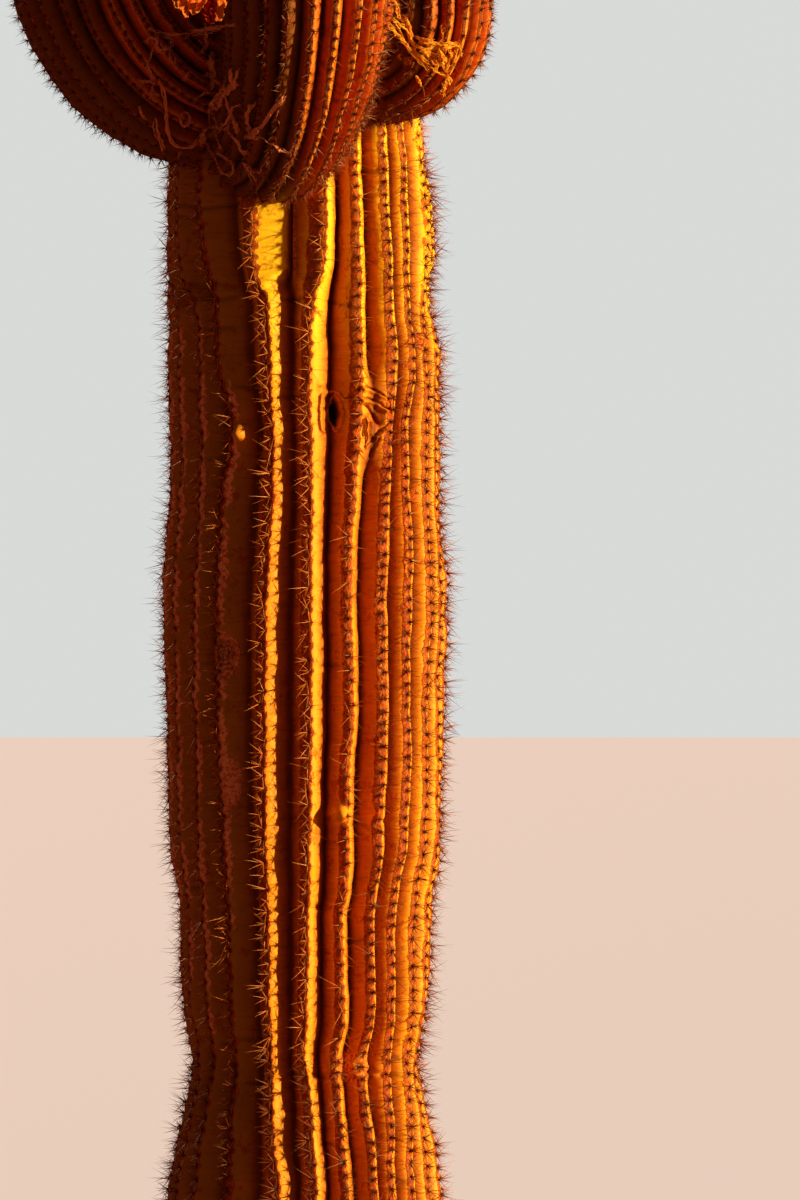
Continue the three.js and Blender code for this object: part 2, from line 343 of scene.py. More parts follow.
# How far the right flank stands out from the round, at each height.
RIGHT_FLANK = [
    (1.3, 0), (1.377, -0.005), (1.45, 0), (1.54, 0), (1.586, -0.003), (1.63, -0.009), (1.74, -0.011),
    (1.8, -0.009), (1.865, -0.006), (1.935, -0.001), (1.962, 0.003), (1.99, 0.001), (2.04, -0.009),
    (2.08, -0.009), (2.14, 0), (2.214, -0.001), (2.26, -0.007), (2.336, -0.014), (2.6, -0.006), (3.0, 0),
]
FLANK_RISES = (64, 84)
FLANK_FADES = (100, 125)
CREST_WOBBLE_DEG = 0.4
WOBBLE_LENGTH = 0.13
# Above the courses the ribs spread evenly, and each wanders by a degree or so.
COURSES_END = 2.3
EVEN_FROM = 3.0
FIRST_BEARING_ABOVE = -79
WANDER_DEG = 1.2
WANDER_LENGTH = 0.9

# Pleats are shallow in the old wood at the foot, uneven all along, and shallower where ribs crowd.
RIB_DEPTH = 0.038
OLD_RIB_DEPTH = 0.024
OLD_RIB_HEIGHT = 0.9
UNEVEN_DEPTH = 0.10
UNEVEN_LENGTH = 0.8
USUAL_GAP_DEG = 15
CROWDING = (0.7, 1.1)
# The pleats at the right are shallower, more so above 1.85 m.
SHALLOW_FROM = (26, 46)
SHALLOW_TO = (110, 150)
SHALLOW_SHARE = 0.25
SHALLOW_MORE_FROM = (1.6, 1.85)
SHALLOW_MORE_ABOVE = 0.1
# The valley right of this rib is nearly filled beside the folded scar, and a little above it: where
# that starts, where it ends and how much.
FILLED_RIB = 6
FILLED = [((1.72, 1.78), (1.87, 1.95), 0.72), ((1.95, 2.02), (2.3, 2.4), 0.1)]
# Ribs bulge from these bearings on, and above 1.9 m already from the middle.
FULL_FROM = (14, 50)
FULL_TO = (130, 170)
FULL_MOST = 0.8
FULL_HIGH = ((1.9, 2.05), (0, 22), 0.6)

# One rib ends at the top in a flat panel that slants back to the right, with a thin ridge beside it.
FLAT_RIB = 4
FLAT_FROM = (2.062, 2.098)
FLAT_TO = (2.27, 2.36)
FLAT_RIGHT_SHARE = 0.8
FLAT_LEFT_SHARE = 0.1
FLAT_SLANT = 0.023
RIDGE_AT, RIDGE_HALF_WIDTH, RIDGE_HEIGHT, RIDGE_CORK = -2.2, 1.3, 0.010, 0.6
RIDGE_FROM = (2.06, 2.09)
RIDGE_TO = (2.22, 2.3)

# %% [markdown]
# The hide changes round the trunk. Low down it has painted sunlit colours on every side but the left,
# where it has painted shade colours instead. It is young at the right and at the back, and most of
# the red cork, with its painted shade, stands right of the middle.

# %% Where the hide changes
# Seen from the front, the areoles stand a little left of the crests, on these first ribs.
PAD_SIDE = -0.05
PAD_SIDE_RIBS = (5, 6)
# Where the hide turns from its painted shade colours at the left to its painted sunlit ones, and back.
PAINTED_SUNLIT_STARTS = (-32, -18)
PAINTED_SUNLIT_ENDS = (230, 262)
FRESH_SHARE = 0.6
FRESH_STARTS = (44, 60)
FRESH_ENDS = (240, 270)
CORK_AND_SHADE_FROM, CORK_AND_SHADE_MORE = (20, 34), 0.3
CORK_AND_SHADE_TO, CORK_AND_SHADE_LESS = (50, 66), 0.5
CLEAN_ABOVE, CLEAN_FROM, CLEAN_SHARE = (1.85, 2.1), (26, 40), 0.4

# %% [markdown]
# Old wounds are drawn too: knobs, notches, wavy lines of cork, a bird's hollow, a folded scar beside
# it and a swirl of cork. Some are traced in the picture, and a line of sight finds each of those its
# place on the trunk.

# %% Knobs, scars, notches and cork
# Knobs and dents: height, bearing, half height, half width, how far they stand out.
KNOBS = [
    (1.142, 15.4, 0.015, 0.014, 0.021),
    (1.146, 31.8, 0.010, 0.009, 0.012),
    (1.973, 62.5, 0.009, 0.009, 0.009),
    (1.808, -27.0, 0.014, 0.010, 0.020),
    (1.700, 53.5, 0.008, 0.008, 0.007),
    (1.890, 7.5, 0.020, 0.008, 0.007),
    (1.425, -34, 0.034, 0.022, -0.007),
    (0.700, 11.5, 0.013, 0.012, 0.015),
    (0.698, 25.5, 0.013, 0.012, 0.015),
    (0.690, 39.5, 0.015, 0.013, 0.013),
    (0.676, -1.5, 0.011, 0.010, -0.016),
    (0.990, -20, 0.015, 0.010, 0.004),
]
# Scars: height, bearing, half height, half width.
SCARS = [
    (1.70, 53.5, 0.012, 0.012),
    (1.973, 62.5, 0.018, 0.02),
    (0.70, 27, 0.03, 0.05),
    (1.20, -34, 0.05, 0.02),
]
# Notches: height, first and last rib that they cut across, how deep.
NOTCHES = [
    (1.126, 4, 8, 0.004),
    (0.978, 4, 6, 0.005),
    (0.684, 4, 8, 0.010),
    (1.844, 4, 4, 0.004),
    (1.588, 4, 4, 0.003),
    (2.073, 0, 3, 0.006),
    (0.62, 5, 7, 0.003),
]
NOTCH_HALF_HEIGHT = 0.0045
NOTCH_BEND = 0.006
NOTCH_BEND_RIBS = 2.5
# Knobs that stand out further than this are bare and smooth.
BARE_KNOB = 0.0165
BARE_GAIN = 1.6
BARE_ROUNDNESS = 0.8

# Cork grows in wavy lines left and right of the areoles. For each rib: how strong each line is, and
# the heights between which it runs.
CORK_LINES = {
    0: (0.9, 0.9, 0.9, 2.05),
    1: (1.0, 0.9, 0.8, 2.06),
    2: (0.9, 1.0, 0.7, 2.06),
    3: (0.0, 1.0, 0.9, 1.95),
    6: (0.8, 0.5, 1.3, 1.75),
    7: (0.9, 0.8, 1.2, 1.66),
    8: (0.7, 0.5, 1.45, 1.75),
}
CORK_ACROSS = 0.27
CORK_HALF_WIDTH = 0.13
CORK_BEAT = 0.05
CORK_WINDING = 0.06
CORK_WINDING_LENGTH = 0.07
CORK_FADES_IN = 0.1
# Cork is thicker and thinner in patches along its line.
CORK_USUAL, CORK_PATCHY, CORK_PATCH_LENGTH = 0.8, 0.5, 0.16
CORK_HEIGHT = 0.0014

# %% Creases, folds, hollow and swirl
# Creases, traced in the 800 by 1200 picture.
CREASES = [
    [(175, 204), (205, 208), (240, 203)], [(178, 216), (200, 218)], [(195, 298), (215, 301), (235, 297)],
    [(196, 330), (232, 328)], [(205, 460), (225, 458)], [(304, 278), (320, 279)], [(330, 303), (350, 306)],
    [(282, 818), (300, 819)], [(325, 818), (337, 819)], [(325, 842), (340, 843)], [(360, 822), (370, 829)],
    [(180, 884), (200, 888), (215, 882)], [(362, 200), (372, 196), (385, 186)],
]
TRACED_CREASE_HALF_WIDTH = 0.0032
TRACED_CREASE_DEPTH = 0.0035
TRACED_CREASE_SHADE = 0.45

# Ridges and slits of the old wounds, traced in the same picture: their points, half width and height
# in millimetres, and how corky they are and how much painted shade darkens them, from 0 to 1.
FOLDS = [
    ([(326, 392), (321.5, 396), (320.5, 404), (320.5, 416), (321, 426), (323, 431)], 4.2, 6.5, 0.1, 0),
    ([(325.7, 397), (325.9, 412), (325.5, 430)], 1.3, -3, 0, 0.8),
    ([(328, 393), (332, 391), (337, 393), (341, 397)], 2.2, 4.5, 0.9, 0),
    ([(329, 421), (331.5, 425.5), (334, 429), (337, 426)], 1.6, 2.5, 0.5, 0),
    ([(361, 388.5), (368, 390.5), (375, 393.5), (381, 397), (386, 397.5)], 3.6, 5, 0.1, 0),
    ([(365, 386), (371, 388), (376, 390.5), (381, 393.5), (384, 396), (389.5, 399)], 1.8, -4.5, 0.2, 0.7),
    ([(362, 397.5), (370, 398.5), (375, 400.5), (380.5, 402.5), (384.5, 407.5), (389.5, 408.5)],
     1.7, -4.5, 0.2, 0.7),
    ([(361, 401), (366, 401.5), (372.5, 403.5), (376, 405.5), (381, 408), (385, 411)], 3, 4.5, 0.1, 0),
    ([(364, 404), (369, 408), (371.5, 413), (375, 418.5), (377.5, 423)], 2.4, -6, 0.4, 0.5),
    ([(385, 413), (385.5, 418), (384.5, 423)], 7, 4.5, 0, 0),
    ([(367.5, 418), (370.5, 423), (371.5, 429), (370.5, 434)], 6.5, 6, 0, 0),
    ([(363, 420), (363.4, 430), (362.8, 436)], 1.5, -6, 0.4, 0.9),
    ([(365, 418.5), (367, 423), (366.6, 431), (367.8, 439), (365, 446)], 1.1, 2.5, 0.8, 0),
    ([(364.5, 424), (365, 436), (366, 445)], 1.0, -3, 0.6, 0.6),
    ([(371, 438), (377.5, 433), (381, 429), (384.4, 427.4), (389.4, 423), (392, 421)], 1.4, -4.5, 0.2, 0.85),
    ([(373, 441), (379, 436), (386, 430)], 3, 3.5, 0, 0),
    ([(378.8, 438.6), (376, 443.6), (372.5, 449), (370, 456)], 2.6, -4.5, 0, 0.35),
    ([(366, 447), (370, 444), (375, 440)], 3.5, 4, 0, 0),
    ([(358.8, 447.4), (363, 453.6)], 1.0, -2, 0, 0.6),
    ([(390, 398.6), (391, 403), (391, 407), (392.5, 410.5), (392, 415)], 1.0, 2, 0.9, 0),
    ([(346, 398), (352, 397.5), (358, 398)], 1.5, -3, 0.6, 0.7),
    ([(235, 640), (239, 650), (237, 662), (231, 672), (226, 681)], 1.7, 3, 1, 0),
    ([(231, 641), (234.5, 651), (232, 663), (227, 672)], 1.3, 2.2, 0.9, 0),
]
FOLD_GAIN = 1.35
# The edges of all these wounds stray by about a millimetre.
WOUND_STRAY = 0.0009
WOUND_STRAY_LENGTHS = (0.019, 0.016)
# The hollow and the swirl of cork: their middle in the picture, and half width and height in metres.
# Their edges and bands are shares of that size.
HOLLOW = ((334.5, 413), 0.0086, 0.0265)
HOLLOW_BLUNTNESS = 0.0012
HOLLOW_POINTEDNESS = 1.6
HOLLOW_EDGE = (0.55, 1.15)
HOLLOW_DARK_EDGE = (0.75, 1.2)
HOLLOW_DEPTH = 0.028
HOLLOW_LIP, LIP_AT, LIP_WIDTH = 0.003, 1.55, 0.3
LIP_CORK, LIP_CORK_AT, LIP_CORK_WIDTH = 0.5, 1.5, 0.4
SWIRL = ((217, 655), 0.032, 0.047)
SWIRL_EDGE = (0.75, 1.1)
SWIRL_DARK_EDGE = (0.35, 0.95)
SWIRL_DENT = 0.006
SWIRL_RINGS = 4.2
RING_STRAY, RING_STRAY_LENGTH, RING_KEY = 0.6, 1.3, 4
SWIRL_RELIEF = 0.0018
SWIRL_CORK = 0.9
SWIRL_SHADE, RING_SHADE = 0.45, 0.3

# Fine patches over the coarse skin: lowest and highest place, first and last bearing.
PATCHES = {
    "hollow": (1.735, 1.905, 2.5, 44.0),
    "swirl": (1.335, 1.505, -54.0, -22.0),
}
PATCH_STEP = 0.0011
PATCH_DROP = 0.004
PATCH_EDGE = 0.006
# How far in from a patch's edge the coarse sheet has dropped under it, and its own wounds show.
DROPPED_AT = 0.012
WOUNDS_SHOW_AT = 0.014
# Further in, the coarse sheet drops by this much more, so that the hollow doesn't meet it.
HOLLOW_ROOM = 0.036
ROOM_MADE_AT = 0.028


def line_distance(line, across, height):
    """How far each place is from a line through some places on the unrolled trunk."""
    nearest = np.full(np.broadcast(across, height).shape, np.inf)
    for start, end in zip(line[:-1], line[1:]):
        way = end - start
        share = ((across - start[0]) * way[0] + (height - start[1]) * way[1]) / (way @ way)
        share = np.clip(share, 0, 1)
        off = np.hypot(across - start[0] - share * way[0], height - start[1] - share * way[1])
        nearest = np.minimum(nearest, off)
    return nearest


def carve_folds(spot, u, v):
    """Ridges and slits along the traced lines: relief, cork and painted shade."""
    push, cork, dark = 0.0, 0.0, 0.0
    for line, half_width, out, corky, darkness in FOLDS:
        near = hump(line_distance([spot(*point) for point in line], u, v), half_width / 1000)
        push = push + FOLD_GAIN * out / 1000 * near
        cork = np.maximum(cork, corky * near)
        dark = np.maximum(dark, darkness * near)
    return push, cork, dark


def carve_hollow(spot, u, v, push, cork, dark):
    """A narrow upright hole with a thick lip, painted dark inside as shade. Nothing is left of other relief
    inside it.
    """
    (x, y), half_width, half_height = HOLLOW
    middle = spot(x, y)
    away_across = np.hypot(u - middle[0], HOLLOW_BLUNTNESS) / half_width
    away = away_across + (np.abs(v - middle[1]) / half_height) ** HOLLOW_POINTEDNESS
    inside = 1 - ease(away, *HOLLOW_EDGE)
    push = push * (1 - inside) - HOLLOW_DEPTH * inside + HOLLOW_LIP * hump(away - LIP_AT, LIP_WIDTH)
    cork = np.maximum(cork, LIP_CORK * hump(away - LIP_CORK_AT, LIP_CORK_WIDTH))
    dark = np.maximum(dark, 1 - ease(away, *HOLLOW_DARK_EDGE))
    return push, cork, dark


def carve_swirl(spot, u, v, push, cork, dark):
    """A shallow round dent of cork with uneven rings."""
    (x, y), half_width, half_height = SWIRL
    middle = spot(x, y)
    across_it, up_it = (u - middle[0]) / half_width, (v - middle[1]) / half_height
    away = np.hypot(across_it, up_it)
    angle = np.arctan2(up_it, across_it)
    stray = RING_STRAY * ripple(np.abs(angle), RING_STRAY_LENGTH, RING_KEY)
    rings = np.sin(2 * np.pi * (away * SWIRL_RINGS + stray))
    inside = 1 - ease(away, *SWIRL_EDGE)
    push = push + (SWIRL_RELIEF * rings - SWIRL_DENT) * inside
    cork = np.maximum(cork, SWIRL_CORK * inside)
    shade = (SWIRL_SHADE - RING_SHADE * rings) * (1 - ease(away, *SWIRL_DARK_EDGE))
    dark = np.maximum(dark, shade)
    return push, cork, dark


print(len(KNOBS), "knobs and dents,", len(FOLDS), "folds,", len(CREASES), "creases")

# %% [markdown]
# With the measures and the wounds at hand, the rule itself is short: a bearing for each crest at each
# height, a radius, a depth of pleat, and the forms that only the trunk has.

# %% The trunk's rule
# The part of a line of sight that crosses the trunk's front, in metres from the camera.
SIGHT_FROM, SIGHT_TO, SIGHT_STEP = 11.62, 11.9, 0.0004


class Trunk(Stem):
    name = "trunk"
    bead_height = 0.0002
    cork_and_shade_edges = (-0.36, 0.09, 0.08)
    spots = {}
    ribs = RIBS_ROUND_TRUNK
    seed = 3
    dome = TRUNK_DOME
    straight = TRUNK_TOP - TRUNK_DOME
    length = straight + dome * np.pi / 2
    spacing = [(0, 0.024), (0.5, 0.022), (2.2, 0.021), (3.0, 0.023), (5.3, 0.018)]

    def crest_bearing(self, height, crest):
        """The bearing of any crest, counted round the trunk again and again."""
        turns = np.floor(crest / self.ribs)
        number = np.mod(crest, self.ribs)
        front = len(RIB_COURSES)
        courses = [through(course, height) for course in RIB_COURSES]
        step = (courses[0] + 360 - courses[-1]) / (self.ribs - front + 1)
        low = courses[-1] + step * (number - front + 1)
        for i, course in enumerate(courses):
            low = np.where(number == i, course, low)
        high = FIRST_BEARING_ABOVE + 360 * number / self.ribs
        low = low + CREST_WOBBLE_DEG * ripple(height, WOBBLE_LENGTH, number + 11)
        wander = ripple(height, WANDER_LENGTH, number + self.seed)
        even = ease(height, COURSES_END, EVEN_FROM)
        return low * (1 - even) + (high + WANDER_DEG * wander) * even + 360 * turns

    def bearing(self, height, rib):
        first = np.floor(rib)
        between = rib - first
        start = self.crest_bearing(height, first)
        return start + between * (self.crest_bearing(height, first + 1) - start)

    def rib_at(self, height, bearing):
        """The rib number at a bearing that the courses cover."""
        crests = np.stack([self.crest_bearing(height, i) for i in range(len(RIB_COURSES))])
        number = np.clip(np.sum(crests <= bearing, axis=0) - 1, 0, len(RIB_COURSES) - 2)
        low = np.take_along_axis(crests, number[None], axis=0)[0]
        high = np.take_along_axis(crests, number[None] + 1, axis=0)[0]
        return number + (bearing - low) / (high - low)

    def pad_side(self, crest):
        return PAD_SIDE * (1 - ease(crest % self.ribs, *PAD_SIDE_RIBS))

    def cork_and_shade_share(self, height, rib):
        """Most red on the ribs right of the middle, and less on the young ones beyond and above them."""
        bearing = self.bearing(height, rib)
        side = 1 + CORK_AND_SHADE_MORE * ease(bearing, *CORK_AND_SHADE_FROM) - CORK_AND_SHADE_LESS * ease(bearing, *CORK_AND_SHADE_TO)
        return side * (1 - CLEAN_SHARE * ease(height, *CLEAN_ABOVE) * ease(bearing, *CLEAN_FROM))

    def fresh(self, height, rib):
        bearing = self.bearing(height, rib)
        return FRESH_SHARE * ease(bearing, *FRESH_STARTS) * (1 - ease(bearing, *FRESH_ENDS))

    def painted_sunlit(self, height, rib):
        """Where the hide takes its painted sunlit colours: 0 low at the left, where it takes painted shade
        colours, and 1 elsewhere.
        """
        bearing = self.bearing(height, rib)
        low = ease(bearing, *PAINTED_SUNLIT_STARTS) * (1 - ease(bearing, *PAINTED_SUNLIT_ENDS))
        return np.maximum(low, ease(height, *PAINTED_SUNLIT_FROM))

    def fullness(self, height, rib):
        """How broad and round the ribs are: 0 for a roof with a rounded ridge, 1 for a full bulge."""
        bearing = self.bearing(height, rib)
        heights, bearings, most = FULL_HIGH
        high = most * ease(height, *heights) * ease(bearing, *bearings)
        return np.maximum(FULL_MOST * ease(bearing, *FULL_FROM), high) * (1 - ease(bearing, *FULL_TO))

    def spot(self, x, y):
        """Where the picture's point is on the unrolled trunk: metres round it, and height."""
        if (x, y) not in self.spots:
            way = sight(x, y)
            places = np.array(CAMERA_AT) + way * np.arange(SIGHT_FROM, SIGHT_TO, SIGHT_STEP)[:, None]
            height = places[:, 2]
            right = places[:, 0] - through(STRAY_RIGHT, height)
            back = places[:, 1] - through(STRAY_BACK, height)
            bearing = np.degrees(np.arctan2(right, -back))
            rib = self.rib_at(height, bearing)
            pleat = self.pleat(2 * np.abs(rib - np.round(rib)), self.fullness(height, rib))
            skin = self.radius(height, rib) - self.depth(height, rib) * pleat
            within = np.hypot(right, back) <= skin
            first = np.argmax(within) if within.any() else np.argmin(np.hypot(right, back) - skin)
            self.spots[(x, y)] = np.array([bearing[first] * METRES_PER_DEGREE, height[first]])
        return self.spots[(x, y)]

    def radius(self, height, rib):
        bearing = self.bearing(height, rib)
        flank = ease(bearing, *FLANK_RISES) * (1 - ease(bearing, *FLANK_FADES))
        return through(TRUNK_RADII, height) + through(RIGHT_FLANK, height) * flank

    def depth(self, height, rib):
        left_crest = np.floor(rib)
        bearing = self.bearing(height, rib)
        old = ease(height, 0, OLD_RIB_HEIGHT)
        uneven = 1 + UNEVEN_DEPTH * ripple(height, UNEVEN_LENGTH, left_crest % self.ribs + 40)
        gap = self.crest_bearing(height, left_crest + 1) - self.crest_bearing(height, left_crest)
        crowding = np.clip(gap / USUAL_GAP_DEG, *CROWDING)
        right = ease(bearing, *SHALLOW_FROM) * (1 - ease(bearing, *SHALLOW_TO))
        shallow = 1 - right * (SHALLOW_SHARE + SHALLOW_MORE_ABOVE * ease(height, *SHALLOW_MORE_FROM))
        for start, end, most in FILLED:
            filled = most * ease(height, *start) * (1 - ease(height, *end))
            shallow = shallow * (1 - filled * (left_crest == FILLED_RIB))
        return (OLD_RIB_DEPTH + (RIB_DEPTH - OLD_RIB_DEPTH) * old) * uneven * crowding * shallow

    def place(self, height, rib, radius):
        middle = np.stack([through(STRAY_RIGHT, height), through(STRAY_BACK, height), height], axis=-1)
        return middle + towards(self.bearing(height, rib)) * radius[..., None]

    def wounds(self, along, bearing):
        """The relief, cork and painted shade of the old wounds, which only a patch is fine enough for."""
        across = bearing * METRES_PER_DEGREE
        u = across + WOUND_STRAY * ripple(along, WOUND_STRAY_LENGTHS[0], 5)
        v = along + WOUND_STRAY * ripple(across, WOUND_STRAY_LENGTHS[1], 8)
        forms = carve_folds(self.spot, u, v)
        forms = carve_hollow(self.spot, u, v, *forms)
        return carve_swirl(self.spot, u, v, *forms)

    def panel(self, along, rib, share):
        """The flat panel: the share with the flat put in, and how far it slants back."""
        crest = np.round(rib)
        flat = (ease(along, *FLAT_FROM) - ease(along, *FLAT_TO)) * (crest == FLAT_RIB)
        start = np.where(rib > crest, FLAT_RIGHT_SHARE, FLAT_LEFT_SHARE) * flat
        across = np.where(rib > crest, share, -share)
        slant = FLAT_SLANT * flat * np.clip((across + FLAT_LEFT_SHARE) / FLAT_RIGHT_SHARE, 0, 1)
        return np.clip((share - start) / (1 - start), 0, 1), slant

    def knobs(self, along, bearing):
        """The relief of the knobs and dents, the cork of the scars, and where knobs are bare."""
        def blob(height, middle, half_height, half_width):
            up, across = (along - height) / half_height, (bearing - middle) * METRES_PER_DEGREE / half_width
            return np.exp(-(up**2 + across**2))

        bare = np.zeros(np.broadcast(along, bearing).shape)
        push, scar = 0.0, 0.0
        for *place, out in KNOBS:
            push = push + out * blob(*place)
            if out > BARE_KNOB:
                bare = np.maximum(bare, np.clip(BARE_GAIN * blob(*place), 0, 1))
        for place in SCARS:
            scar = scar + blob(*place)
        return push, scar, bare

    def notches(self, along, rib):
        """How deep the notches cut."""
        cut = 0.0
        for height, first, last, deep in NOTCHES:
            across_ribs = ease(rib, first - 0.5, first) * (1 - ease(rib, last, last + 0.5))
            bend = NOTCH_BEND * ripple(rib, NOTCH_BEND_RIBS, height)
            cut = cut + deep * hump(along - height - bend, NOTCH_HALF_HEIGHT) * across_ribs
        return cut

    def cork_strips(self, along, rib):
        """Each wavy strip of cork beside the areoles, one after another."""
        crest = np.round(rib)
        number = crest % self.ribs
        from_pads = rib - crest - self.pad_side(crest)
        beat = np.cos(2 * np.pi * self.phase(along, number))
        for cork_rib, (left, right, low, high) in CORK_LINES.items():
            rises, falls = ease(along, low, low + CORK_FADES_IN), ease(along, high - CORK_FADES_IN, high)
            there = (number == cork_rib) * rises * (1 - falls)
            for strength, side in ((left, -1), (right, 1)):
                wave = ripple(along, CORK_WINDING_LENGTH, cork_rib * 3 + side)
                winding = CORK_ACROSS + CORK_BEAT * beat + CORK_WINDING * wave
                strip = strength * there * hump(2 * side * from_pads - winding, CORK_HALF_WIDTH)
                patchy = CORK_PATCHY * ripple(along, CORK_PATCH_LENGTH, cork_rib * 5 + side)
                yield strip * (CORK_USUAL + patchy)

    def forms(self, along, rib, share, layer):
        bearing = self.bearing(along, rib)
        flattened, slant = self.panel(along, rib, share)
        raised, scar, bare = self.knobs(along, bearing)
        ridge = hump(bearing - RIDGE_AT, RIDGE_HALF_WIDTH)
        ridge = ridge * ease(along, *RIDGE_FROM) * (1 - ease(along, *RIDGE_TO))
        push = raised + RIDGE_HEIGHT * ridge - slant - self.notches(along, rib)
        scar = scar + RIDGE_CORK * ridge
        for strip in self.cork_strips(along, rib):
            scar = np.maximum(scar, strip)
            push = push + CORK_HEIGHT * strip
        dark = np.zeros(scar.shape)
        for line in CREASES:
            off = line_distance([self.spot(*point) for point in line], bearing * METRES_PER_DEGREE, along)
            near = hump(off, TRACED_CREASE_HALF_WIDTH)
            push = push - TRACED_CREASE_DEPTH * near
            dark = np.maximum(dark, near * TRACED_CREASE_SHADE)
        for name, (low, high, start, end) in PATCHES.items():
            sideways = np.minimum(bearing - start, end - bearing) * METRES_PER_DEGREE
            inside = np.minimum(np.minimum(along - low, high - along), sideways)
            if layer == COARSE:
                dip = PATCH_DROP * ease(inside, PATCH_EDGE, DROPPED_AT)
                push = push - dip - HOLLOW_ROOM * ease(inside, DROPPED_AT, ROOM_MADE_AT)
            elif inside.max() > 0 and layer in (WHOLE, name):
                carved, cork, shade = self.wounds(along, bearing)
                shown = ease(inside, PATCH_EDGE, WOUNDS_SHOW_AT)
                push = push + carved * shown
                scar = np.maximum(scar, cork * shown)
                dark = np.maximum(dark, shade * shown)
            if layer == name:
                push = push - PATCH_DROP * (1 - ease(inside, 0, PATCH_EDGE))
        roundness = 1 - BARE_ROUNDNESS * bare
        return flattened * roundness, push, np.clip(scar, 0, 1), dark, bare


trunk = Trunk()
trunk.count_areoles(trunk.spacing)
print("trunk", round(trunk.length, 2), "m along,", trunk.ribs, "ribs")

# %% [markdown]
# An arm leaves the trunk level, turns up through its elbow and then climbs. Its centre line is the
# CAD rule again, written with arrays so that thousands of points are placed at once.

# %% The arms' rule
LEAVING_RADIUS = 0.235
ARM_ROOT_DEPTH = 0.13
ARM_RIB_DEPTH_SHARE = 0.19
ARM_UNEVEN_DEPTH = 0.14
ARM_UNEVEN_LENGTH = 0.5
ARM_FULLNESS = 0.6
ARM_DOME_SHARE = 1.1
# Crests wander by this share of a rib.
ARM_WANDER = 0.10
ARM_WANDER_LENGTH = 0.7
FULL_AFTER = 0.42
SWAY_AFTER = 0.3
# Areoles stand close together in the bend and further apart from half a metre above it.
BEND_SPACING, CLIMB_SPACING, TIP_SPACING = 0.0135, 0.020, 0.018
ROOT_SPACING = 0.013
WIDE_AFTER = 0.5
# The sides that face this bearing, towards the key light, get the painted sunlit colours.
ARM_PAINTED_SUNLIT_FACES = 70.0
ARM_PAINTED_SUNLIT_TURN = (0.1, 0.5)
# Each arm: where it leaves the trunk and where it heads, how far out its upright stands, the radius
# of its bend, its own radii from root to tip, how high its top is, how far it sways, and its ribs,
# which are turned round it by a share of a rib.
ARMS = [
    dict(name="left_arm", bearing=-58, height=2.432, heading=-58, out=0.19, bend=0.24,
         root=0.153, elbow=0.161, full=0.168, tip=0.138, top=4.42, sway=0.012, ribs=24, turn=0, seed=101),
    dict(name="front_arm", bearing=-12, height=2.33, heading=14, out=0.262, bend=0.29,
         root=0.118, elbow=0.149, full=0.153, tip=0.126, top=4.76, sway=0.007, ribs=22, turn=0.45, seed=202),
    dict(name="right_arm", bearing=27, height=2.435, heading=55, out=0.15, bend=0.1,
         root=0.085, elbow=0.1, full=0.122, tip=0.106, top=4.08, sway=0.004, ribs=18, turn=0, seed=303),
    dict(name="back_arm", bearing=158, height=2.86, heading=150, out=0.235, bend=0.195,
         root=0.102, elbow=0.124, full=0.138, tip=0.116, top=4.56, sway=0.009, ribs=19, turn=0, seed=404),
]


